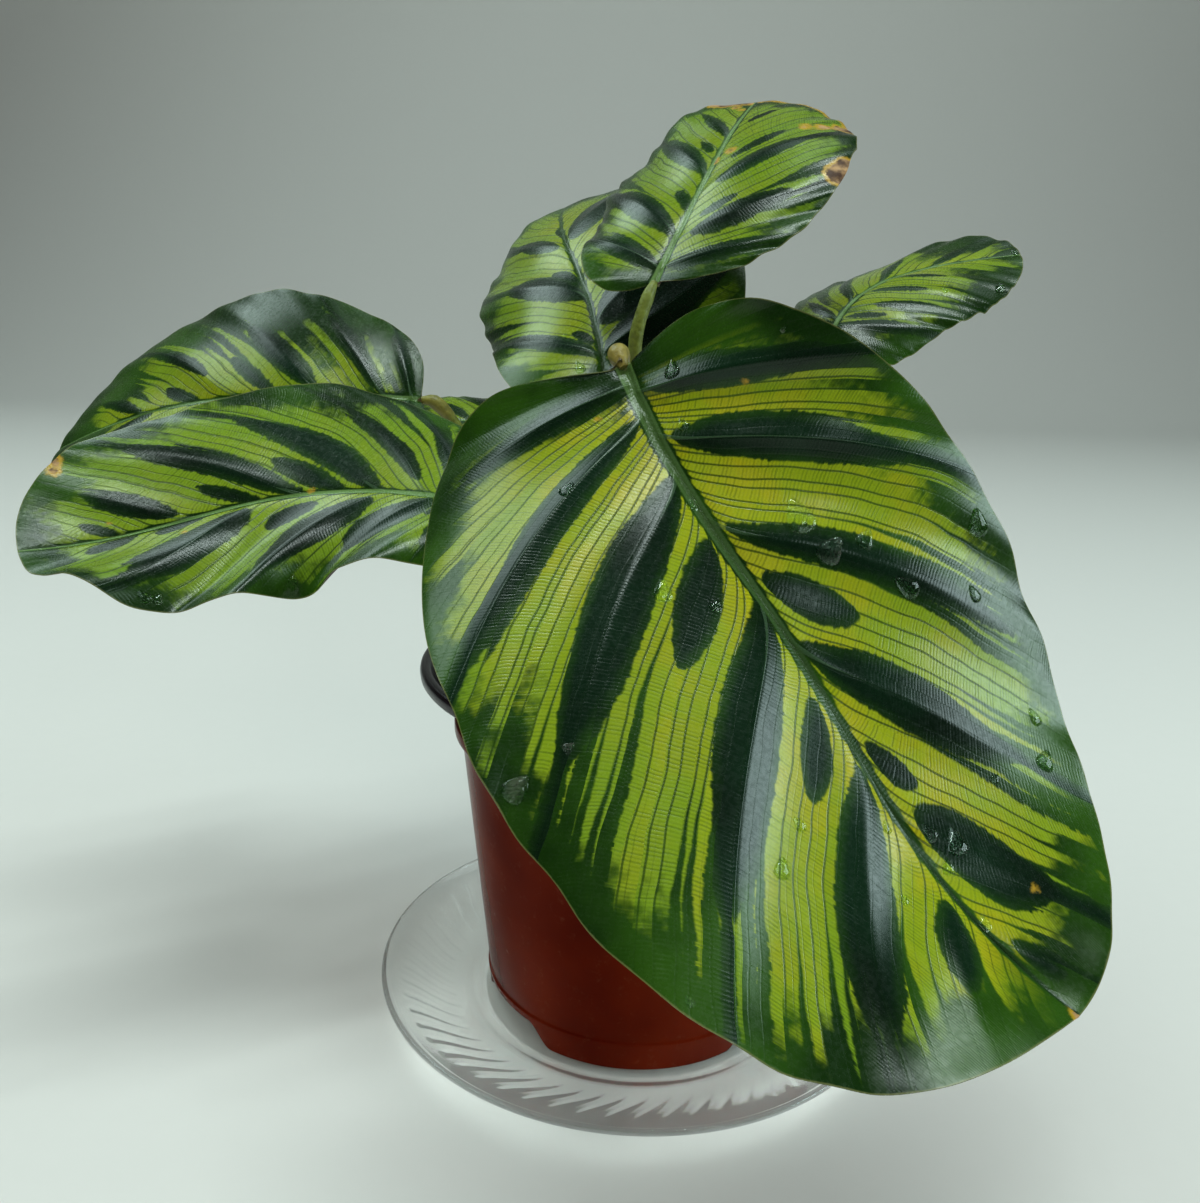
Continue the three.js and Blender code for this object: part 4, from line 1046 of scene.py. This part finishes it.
def blade_piece(leaf):
    """Both faces of a blade and its thin edge, with the pattern's fields on its corners."""
    left, right = half_blade(leaf, "left"), half_blade(leaf, "right")

    def whole(a, b):
        return np.concatenate([a[:, :0:-1], b], 1)

    sheet, pleat, groove, to_edge = (whole(left[k], right[k]) for k in (0, 2, 3, 4))
    fields = {key: whole(left[1][key], right[1][key]) for key in left[1]}
    normal = np.cross(np.gradient(sheet, axis=0), np.gradient(sheet, axis=1))
    normal[0], normal[-1] = normal[1].mean(0), normal[-2].mean(0)
    normal /= np.linalg.norm(normal, axis=2, keepdims=True)
    up = blade_directions(leaf, np.array([0.5]))[2][0]
    normal *= np.sign(normal[len(normal) // 2].mean(0) @ up)
    full = np.clip(to_edge / EDGE_TAPER, 0, 1)
    half_thick = (EDGE_THICKNESS + (BLADE_THICKNESS - EDGE_THICKNESS) * full) / 2
    dip = DIP * leaf["rib_width"] * groove
    keel = KEEL * leaf["rib_width"] * groove
    upper = sheet + normal * (pleat + half_thick - dip)[..., None]
    lower = sheet + normal * (pleat - half_thick - keel)[..., None]

    rows, columns = sheet.shape[0] - 1, sheet.shape[1] - 1
    number = np.zeros((rows + 1, columns + 1), int)
    number[1:-1] = 1 + np.arange((rows - 1) * (columns + 1)).reshape(rows - 1, -1)
    number[-1] = number[-2, -1] + 1
    kept = [(0, columns // 2)]
    kept += [(i, j) for i in range(1, rows) for j in range(columns + 1)]
    kept += [(rows, columns // 2)]
    i, j = np.array(kept).T
    under = len(kept)
    faces, finish = [], []
    for a, b, c, d in zip(number[:-1, :-1].ravel(), number[:-1, 1:].ravel(),
                          number[1:, 1:].ravel(), number[1:, :-1].ravel()):
        corner = without_repeats([a, b, c, d])
        faces += [corner, [n + under for n in reversed(corner)]]
        finish += [0, 1]
    border = [*number[:, 0], *number[-2:0:-1, -1]]
    for a, b in zip(border, border[1:] + border[:1]):
        faces.append([int(a), int(b), int(b) + under, int(a) + under])
        finish.append(0)
    piece = new_piece("leaf_" + leaf["name"], np.vstack([upper[i, j], lower[i, j]]), faces)
    mesh = piece.data
    for key, values in fields.items():
        keep_values(piece, key, np.vstack([values[i, j]] * 2))
    mesh.polygons.foreach_set("material_index", finish)
    # Every second face is an upper one, and the one at the middle has to face up
    if mesh.polygons[len(mesh.polygons) // 2 // 2 * 2].normal @ Vector(up) < 0:
        mesh.flip_normals()
    mesh.set_sharp_from_angle(angle=radians(60))
    return piece


# The pattern that both faces of a blade share, as masks from the fields on its corners
pattern, given, result = new_tree(
    "leaf_pattern",
    "ShaderNodeTree",
    {
        "Margin": ("NodeSocketFloat", 5.0),
        "Streaks": ("NodeSocketFloat", 0.45),
        "Comb": ("NodeSocketFloat", 0.95),
    },
    {name: "NodeSocketFloat" for name in (
        "Blotch", "Fringe", "Light", "Yellow", "Vein", "Main vein", "Rung", "Rib", "Furrow", "Edge",
        "Scorch", "Halo", "Pale", "Height")},
)


def chance(tree, first, second=0.0):
    """An even random share for each pair of whole numbers."""
    pair = add_node(tree, "ShaderNodeCombineXYZ", {0: first, 1: second}).outputs[0]
    node = add_node(tree, "ShaderNodeTexWhiteNoise", {"Vector": pair}, noise_dimensions="2D")
    return node.outputs["Value"]


vein, spacing, outward = field(pattern, "veins")
blotch_depth, to_edge, rib_depth = field(pattern, "zones")
light_share, scorch_depth, pale = field(pattern, "tints")
crest, share, slant = field(pattern, "crests")
ripple = calc(pattern, "SUBTRACT", object_noise(pattern, 260, 4, 0.6), 0.5)
drift = calc(pattern, "SUBTRACT", object_noise(pattern, 40, 2), 0.5)
vein = calc(pattern, "MULTIPLY_ADD", drift, 1.1, vein)

# Fine cross-veins, like the rungs of a ladder, between the side veins
cell = calc(pattern, "FLOOR", vein)
square = calc(pattern, "MULTIPLY_ADD", slant, calc(pattern, "FRACT", vein), outward)
rung_place = calc(pattern, "DIVIDE", calc(pattern, "MULTIPLY_ADD", ripple, 0.45, square),
                  given["Comb"])
rung_place = calc(pattern, "ADD", rung_place, calc(pattern, "MULTIPLY", chance(pattern, cell), 7.0))
rung_number = calc(pattern, "FLOOR", rung_place)
tooth = calc(pattern, "SUBTRACT", chance(pattern, rung_number, cell), 0.5)
rung = ease(pattern, calc(pattern, "PINGPONG", rung_place, 0.5), 0.12, 0.42)
rung = calc(pattern, "MULTIPLY", rung, calc(pattern, "MULTIPLY_ADD", tooth, 0.8, 0.6))

# Side veins: some stay thin and others widen outward into a dark green streak with a toothed edge
number = calc(pattern, "ROUND", vein)
uneven = calc(pattern, "MULTIPLY_ADD", chance(pattern, number, 6.0), 0.5, -0.25)
place = calc(pattern, "SUBTRACT", vein, calc(pattern, "ADD", number, uneven))
away = calc(pattern, "MULTIPLY", calc(pattern, "ABSOLUTE", place), spacing)
start = calc(pattern, "MULTIPLY_ADD", chance(pattern, number, 5.0), 0.4, 0.4)
start = calc(pattern, "MULTIPLY_ADD", given["Streaks"], -0.4, start)
widening = ease(pattern, calc(pattern, "SUBTRACT", share, start), 0.0, 0.7)
widens = calc(pattern, "LESS_THAN", chance(pattern, number, 2.0), given["Streaks"])
streak_width = calc(pattern, "MULTIPLY", calc(pattern, "MULTIPLY", widening, widens),
                    calc(pattern, "MULTIPLY", spacing, 0.62))
teeth = calc(pattern, "MULTIPLY", tooth, calc(pattern, "MULTIPLY", streak_width, 0.4))
away_from_streak = calc(pattern, "SUBTRACT", calc(pattern, "ADD", away, teeth), streak_width)
streak = ease(pattern, away_from_streak, 0.5, -0.25)
line = ease(pattern, away, 0.31, 0.12)
loop = calc(pattern, "MULTIPLY_ADD", chance(pattern, cell, 9.0), 0.3, 0.35)
loop = calc(pattern, "SUBTRACT", calc(pattern, "FRACT", vein), loop)
loop = calc(pattern, "MULTIPLY", calc(pattern, "ABSOLUTE", loop), spacing)
thin_line = calc(pattern, "MULTIPLY", ease(pattern, loop, 0.21, 0.08),
                 ease(pattern, spacing, 3.4, 5.2, 0, 0.75))
vein_line = calc(pattern, "MAXIMUM", line, thin_line)
main_width = calc(pattern, "MULTIPLY_ADD", calc(pattern, "POWER", 0.0001, share), 0.5, 0.14)
main_line = ease(pattern, calc(pattern, "SUBTRACT", crest, main_width), 0.12, -0.08)

# Dark blotches, with a finely toothed outline, and the light zones between them
toothed = calc(pattern, "MULTIPLY_ADD", tooth, 0.5, calc(pattern, "MULTIPLY", ripple, 1.2))
outer_ragged = calc(pattern, "MULTIPLY", calc(pattern, "SUBTRACT", chance(pattern, cell, 3.0), 0.5),
                    ease(pattern, share, 0.35, 0.9, 0.0, 5.0))
blotch_depth = calc(pattern, "ADD", blotch_depth, calc(pattern, "ADD", toothed, outer_ragged))
blotch = ease(pattern, blotch_depth, -0.55, 0.4)
fringe = ease(pattern, blotch_depth, 3.2, 0.0)
inset = calc(pattern, "MULTIPLY", given["Margin"],
             calc(pattern, "MULTIPLY_ADD", chance(pattern, cell, 1.0), 1.7, 0.45))
reach = calc(pattern, "SUBTRACT", to_edge, inset)
reach = calc(pattern, "MULTIPLY_ADD", tooth, MARGIN_TEETH, reach)
mottle = calc(pattern, "SUBTRACT", object_noise(pattern, 110, 3, 0.6), 0.5)
reach = calc(pattern, "MULTIPLY_ADD", mottle, MARGIN_MOTTLE, reach)
light = calc(pattern, "MULTIPLY", ease(pattern, reach, -3.0, 5.0), light_share)
light = calc(pattern, "MULTIPLY", light, calc(pattern, "SUBTRACT", 1.0, streak))
rib_gap = calc(pattern, "MULTIPLY_ADD", chance(pattern, cell, 4.0), -0.4, rib_depth)
rib_gap = calc(pattern, "MULTIPLY_ADD", calc(pattern, "MINIMUM", away, 1.4), 0.4, rib_gap)
light = calc(pattern, "MULTIPLY", light, ease(pattern, rib_gap, 0.4, 1.0))
light = calc(pattern, "MULTIPLY", light, calc(pattern, "SUBTRACT", 1.0, blotch))
yellow = calc(pattern, "SUBTRACT", 1.15, calc(pattern, "MULTIPLY", share, 0.75))
yellow = calc(pattern, "MULTIPLY_ADD", chance(pattern, cell, 8.0), -0.35, yellow, clamp=True)

rib = ease(pattern, rib_depth, 0.25, -0.25)
furrow = ease(pattern, rib_depth, -0.6, -1.1)
edge = ease(pattern, calc(pattern, "MULTIPLY_ADD", ripple, 0.5, to_edge), 0.45, 0.15)
scorch_depth = calc(pattern, "MULTIPLY_ADD", ripple, 5.0, scorch_depth)
scorch = ease(pattern, scorch_depth, 0.0, 0.8)
halo = ease(pattern, scorch_depth, -1.5, -0.1, 0.0, 0.85)
low = calc(pattern, "MULTIPLY", vein_line, ease(pattern, light, 0.0, 1.0, 0.25, 1.0))
height = calc(pattern, "MULTIPLY_ADD", low, -0.25, 0.6)
height = calc(pattern, "MULTIPLY_ADD", rung, -0.10, height)
height = calc(pattern, "MULTIPLY_ADD", ripple, 0.12, height)
height = calc(pattern, "MULTIPLY_ADD", main_line, 0.2, height)
for name, value in {
    "Blotch": blotch, "Fringe": fringe, "Light": light, "Yellow": yellow, "Vein": vein_line,
    "Main vein": main_line, "Rung": rung, "Rib": rib, "Furrow": furrow, "Edge": edge,
    "Scorch": scorch, "Halo": halo, "Pale": pale, "Height": height,
}.items():
    pattern.links.new(value, result.inputs[name])


def blade_material(name, leaf, colours, roughness, relief):
    """A blade's finish: the shared pattern in one face's colours."""
    material, tree, shader = new_material(name)
    values = {"Margin": leaf["margin"], "Streaks": leaf["streaks"]}
    mask = add_node(tree, "ShaderNodeGroup", values, node_tree=pattern).outputs
    cloud = object_noise(tree, 30, 3)
    green = mix_colours(tree, ease(tree, cloud, 0.35, 0.65), colours["deep"], colours["green"])
    sunny = calc(tree, "MULTIPLY", mask["Yellow"], leaf["sun"])
    patch = ease(tree, object_noise(tree, 75, 2), 0.38, 0.66)
    golden = mix_colours(tree, patch, colours["light"], colours["gold"])
    bright = mix_colours(tree, sunny, colours["lime"], golden)
    bright = mix_colours(tree, calc(tree, "MULTIPLY", mask["Rung"], 0.4), bright, green)
    colour = mix_colours(tree, mask["Light"], green, bright)
    dark = mix_colours(tree, ease(tree, cloud, 0.3, 0.7), colours["dark"], colours["teal"])
    dark = mix_colours(tree, calc(tree, "MULTIPLY", mask["Fringe"], 0.5), dark, green)
    colour = mix_colours(tree, mask["Blotch"], colour, dark)
    lined = calc(tree, "MULTIPLY", mask["Vein"], ease(tree, mask["Light"], 0, 1, 0.1, 0.9))
    colour = mix_colours(tree, lined, colour, colours["vein"])
    # Near the midrib the main side veins turn pale grey-green: partly their own paler tone, partly
    # painted sheen along their ridges
    main = calc(tree, "MULTIPLY", mask["Main vein"], ease(tree, mask["Yellow"], 0.2, 1, 0.2, 0.6))
    colour = mix_colours(tree, main, colour, colours["main_vein"])
    rib_colour = mix_colours(tree, mask["Pale"], colours["rib"], colours["pale_rib"])
    rib_colour = mix_colours(tree, calc(tree, "MULTIPLY", mask["Furrow"], 0.4), rib_colour,
                             colours["furrow"])
    colour = mix_colours(tree, mask["Rib"], colour, rib_colour)
    colour = mix_colours(tree, calc(tree, "MULTIPLY", mask["Edge"], 0.5), colour,
                         colours["edge"])
    burn = mix_colours(tree, ease(tree, object_noise(tree, 190, 3), 0.4, 0.62),
                       colours["burnt"], colours["tan"])
    colour = mix_colours(tree, mask["Halo"], colour, colours["halo"])
    colour = mix_colours(tree, mask["Scorch"], colour, burn)
    tree.links.new(colour, shader.inputs["Base Color"])
    speckle = ease(tree, object_noise(tree, 900, 2), 0.3, 0.7, roughness - 0.03,
                   roughness + 0.05)
    rough = calc(tree, "MULTIPLY_ADD", mask["Scorch"], 0.3, speckle)
    tree.links.new(rough, shader.inputs["Roughness"])
    tree.links.new(bump(tree, mask["Height"], relief), shader.inputs["Normal"])
    shader.inputs["Specular IOR Level"].default_value = 0.42
    return material


UPPER_COLOURS = {
    "deep": (0.007, 0.028, 0.002, 1), "green": (0.030, 0.085, 0.006, 1),
    "light": (0.305, 0.350, 0.011, 1), "lime": (0.142, 0.250, 0.015, 1),
    "gold": (0.380, 0.350, 0.010, 1),
    "dark": (0.002, 0.010, 0.003, 1), "teal": (0.005, 0.024, 0.009, 1),
    # The upper face's main_vein grey-green is partly painted sheen on the vein ridges
    "vein": (0.012, 0.034, 0.006, 1), "main_vein": (0.060, 0.110, 0.055, 1),
    "rib": (0.020, 0.050, 0.014, 1), "pale_rib": (0.160, 0.270, 0.090, 1),
    "furrow": (0.035, 0.070, 0.014, 1), "edge": (0.200, 0.200, 0.080, 1),
    "burnt": (0.060, 0.024, 0.008, 1), "tan": (0.420, 0.260, 0.120, 1),
    "halo": (0.470, 0.290, 0.030, 1),
}
UNDER_COLOURS = {
    "deep": (0.058, 0.012, 0.028, 1), "green": (0.082, 0.026, 0.038, 1),
    "light": (0.240, 0.088, 0.098, 1), "lime": (0.190, 0.068, 0.076, 1),
    "gold": (0.250, 0.098, 0.090, 1),
    "dark": (0.040, 0.005, 0.016, 1), "teal": (0.060, 0.008, 0.026, 1),
    "vein": (0.090, 0.024, 0.036, 1), "main_vein": (0.150, 0.080, 0.060, 1),
    "rib": (0.160, 0.100, 0.070, 1), "pale_rib": (0.200, 0.180, 0.080, 1),
    "furrow": (0.160, 0.120, 0.060, 1), "edge": (0.170, 0.110, 0.070, 1),
    "burnt": (0.060, 0.024, 0.008, 1), "tan": (0.360, 0.220, 0.110, 1),
    "halo": (0.250, 0.140, 0.020, 1),
}
leaf_pieces = []
for leaf in LEAVES:
    piece = blade_piece(leaf)
    for face, colours, roughness, relief in (
        ("upper_face_", UPPER_COLOURS, 0.25, 0.2), ("under_face_", UNDER_COLOURS, 0.5, -0.4),
    ):
        finish = blade_material(face + leaf["name"], leaf, colours, roughness, relief)
        piece.data.materials.append(finish)
    settle(piece, "leaf", "blade_" + leaf["name"])
    leaf_pieces.append(piece)

# The water: drops left on the leaves by watering, each a low clear dome that clings to the
# blade. They are placed by the pixels of the photograph where they show, with their widths.
DROP_PIXELS = [
    (672, 370, 4.2), (783, 330, 1.4), (683, 425, 2.8), (693, 505, 3.6), (800, 518, 7.0),
    (830, 552, 6.2), (865, 540, 4.6), (978, 525, 5.6), (908, 588, 5.0), (975, 595, 3.4),
    (663, 592, 4.6), (716, 606, 3.2), (566, 490, 3.6), (568, 748, 2.6), (515, 790, 6.0),
    (995, 780, 2.6), (1045, 762, 5.0), (1035, 718, 3.6), (800, 825, 2.8), (782, 870, 4.0),
    (957, 843, 5.2), (948, 868, 3.0), (930, 834, 3.4), (887, 828, 2.6), (985, 925, 2.8),
    (905, 900, 2.0), (690, 1002, 1.8), (145, 598, 3.6), (158, 600, 3.0), (292, 588, 5.0),
    (580, 368, 3.6), (565, 335, 1.6), (1015, 253, 2.2), (1000, 288, 3.6), (945, 290, 2.4),
]


def sight_line(x, y):
    """The direction from the camera through a pixel of the photograph."""
    ahead = Vector((x - PHOTO_WIDTH / 2, PHOTO_HEIGHT / 2 - y, -FOCAL_PIXELS))
    return (camera.matrix_world.to_3x3() @ ahead).normalized()


corners, faces = [], []
for piece in leaf_pieces:
    first = len(corners)
    corners += [vertex.co.copy() for vertex in piece.data.vertices]
    faces += [[first + c for c in face.vertices] for face in piece.data.polygons]
surfaces = BVHTree.FromPolygons(corners, faces)
seats, facings, sizes = [], [], []
for x, y, width in DROP_PIXELS:
    seat, facing, _, _ = surfaces.ray_cast(CAMERA_PLACE, sight_line(x, y))
    if seat is not None:
        seats.append(seat / MM)
        facings.append(facing)
        sizes.append(width / 2 * MM)
drops = new_piece("water_drops", seats, [])
keep_values(drops, "facing", facings)
keep_values(drops, "size", sizes)

beads, given, result = new_tree(
    "clinging_drops",
    "GeometryNodeTree",
    {
        "Geometry": ("NodeSocketGeometry", None),
        "Flatness": ("NodeSocketFloat", 0.36),
        "Longest": ("NodeSocketFloat", 1.35),
        "Taper": ("NodeSocketFloat", 0.35),
        "Seed": ("NodeSocketInt", 4),
        "Material": ("NodeSocketMaterial", None),
    },
    {"Geometry": "NodeSocketGeometry"},
)
spots = add_node(beads, "GeometryNodeMeshToPoints", {"Mesh": given["Geometry"]}).outputs[0]
ball = add_node(beads, "GeometryNodeMeshIcoSphere", {"Radius": 1.0, "Subdivisions": 5})
place = beads.nodes.new("GeometryNodeInputPosition").outputs[0]
part = add_node(beads, "ShaderNodeSeparateXYZ", {0: place}).outputs
upward = calc(beads, "MULTIPLY", calc(beads, "MAXIMUM", part[0], 0.0), given["Taper"])
narrow = calc(beads, "MULTIPLY", calc(beads, "MULTIPLY", part[0], part[1]), given["Taper"])
tear = add_node(beads, "ShaderNodeCombineXYZ", {
    0: calc(beads, "MULTIPLY", upward, part[0]), 1: calc(beads, "MULTIPLY", narrow, -1.0)})
ball = add_node(beads, "GeometryNodeSetPosition", {
    "Geometry": ball.outputs[0], "Offset": tear.outputs[0]})
stretch = add_node(beads, "FunctionNodeRandomValue", {
    2: 1.0, 3: given["Longest"], "Seed": given["Seed"]}).outputs[1]
turn = add_node(beads, "FunctionNodeRandomValue", {
    2: -1.0, 3: 1.0, "Seed": given["Seed"]}).outputs[1]
facing = add_node(beads, "GeometryNodeInputNamedAttribute", {"Name": "facing"},
                  data_type="FLOAT_VECTOR").outputs[0]
size = add_node(beads, "GeometryNodeInputNamedAttribute", {"Name": "size"}).outputs[0]
tilt = add_node(beads, "FunctionNodeAlignRotationToVector", {"Vector": facing}, axis="Z")
tilt = add_node(beads, "FunctionNodeAlignRotationToVector", {
    "Rotation": tilt.outputs[0], "Vector": (0, 0, 1)}, axis="X", pivot_axis="Z")
spin = add_node(beads, "FunctionNodeAxisAngleToRotation", {"Axis": (0, 0, 1), "Angle": turn})
pose = add_node(beads, "FunctionNodeRotateRotation", {
    "Rotation": tilt.outputs[0], "Rotate By": spin.outputs[0]}, rotation_space="LOCAL")
shape = add_node(beads, "ShaderNodeCombineXYZ", {
    0: calc(beads, "MULTIPLY", size, stretch), 1: size,
    2: calc(beads, "MULTIPLY", size, given["Flatness"])})
laid = add_node(beads, "GeometryNodeInstanceOnPoints", {
    "Points": spots, "Instance": ball.outputs[0], "Rotation": pose.outputs[0],
    "Scale": shape.outputs[0]})
finish_geometry(beads, laid.outputs[0], given, result)

WATER_COLOUR = (0.93, 1.0, 0.94, 1)
WATER_SHADOW = (0.28, 0.36, 0.28, 1)
water, tree, shader = new_material("water")
shader.inputs["Base Color"].default_value = WATER_COLOUR
shader.inputs["Transmission Weight"].default_value = 1
shader.inputs["IOR"].default_value = 1.33
shader.inputs["Roughness"].default_value = 0.02
tree.links.new(bump(tree, object_noise(tree, 150), 0.02), shader.inputs["Normal"])
let_light_through(tree, shader, WATER_SHADOW, 0)
grow(drops, beads, {"Material": water})
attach(drops, "root")

# The surroundings: a plain pale floor that curves up into a wall, and soft lamps. Each lamp
# stands where the photograph's highlights on the leaves ask for one.
FLOOR_HALF = 3500
WALL_PLACE = 2800
WALL_CURVE = 1000
WALL_HEIGHT = 3500
PAPER = (0.66, 0.65, 0.62, 1)
PAPER_SHADE = (0.56, 0.55, 0.52, 1)
outline = [(-FLOOR_HALF, 0)] + [
    (WALL_PLACE - WALL_CURVE * (1 - sin(a)), WALL_CURVE * (1 - cos(a)))
    for a in np.linspace(0, pi / 2, 24)
] + [(WALL_PLACE, WALL_HEIGHT)]
corners = [(x, y, z) for y, z in outline for x in (-FLOOR_HALF, FLOOR_HALF)]
faces = [(2 * i, 2 * i + 1, 2 * i + 3, 2 * i + 2) for i in range(len(outline) - 1)]
floor = new_piece("floor", corners, faces)
paper, tree, shader = new_material("pale_paper")
grain = object_noise(tree, 120, 4)
colour = mix_colours(tree, ease(tree, grain, 0.3, 0.7, 0, 0.04), PAPER, PAPER_SHADE)
tree.links.new(colour, shader.inputs["Base Color"])
shader.inputs["Roughness"].default_value = 0.65
floor.data.materials.append(paper)

LAMP_AIM = Vector((-20, -40, 180)) * MM
LAMP_DISTANCE = 2200 * MM
COOL = (0.82, 1.0, 0.98)


def add_lamp(name, azimuth, elevation, size, power, colour, mirrored=True):
    """A soft lamp that faces the plant from a direction in degrees. Its size is in metres."""
    around, above = radians(azimuth), radians(elevation)
    back = Vector((cos(around) * cos(above), sin(around) * cos(above), sin(above)))
    data = bpy.data.lights.new(name, "AREA")
    data.shape = "RECTANGLE"
    data.size, data.size_y = size
    data.energy = power
    data.color = colour
    lamp = bpy.data.objects.new(name, data)
    turned_to_plant = back.to_track_quat("Z", "Y").to_matrix().to_4x4()
    lamp.matrix_world = Matrix.Translation(LAMP_AIM + back * LAMP_DISTANCE) @ turned_to_plant
    lamp.visible_camera = False
    lamp.visible_glossy = mirrored
    bpy.context.collection.objects.link(lamp)


add_lamp("left_lamp", 156, 48, (2.2, 0.8), 19, COOL)
add_lamp("right_lamp", -9, 19, (1.2, 0.8), 19, (0.80, 0.99, 1.0))
add_lamp("low_lamp", -57, 37, (0.4, 0.3), 2.6, COOL)
add_lamp("back_lamp", 65, 64, (1.3, 0.8), 3, COOL)
add_lamp("fill_lamp", -100, 35, (1.8, 1.4), 15, (1.0, 0.97, 0.90), mirrored=False)
for number, elevation in enumerate((78, 86)):
    add_lamp(f"bar_lamp_{number}", -60, elevation, (1.4, 0.12), 12, (0.88, 1.0, 0.98))

world = bpy.data.worlds.new("studio")
world.use_nodes = True
world.node_tree.nodes["Background"].inputs["Color"].default_value = (0.9, 0.95, 1.0, 1)
world.node_tree.nodes["Background"].inputs["Strength"].default_value = 0.05
bpy.context.scene.world = world
bpy.context.scene.view_settings.view_transform = "Standard"
bpy.context.scene.view_settings.look = "Medium High Contrast"
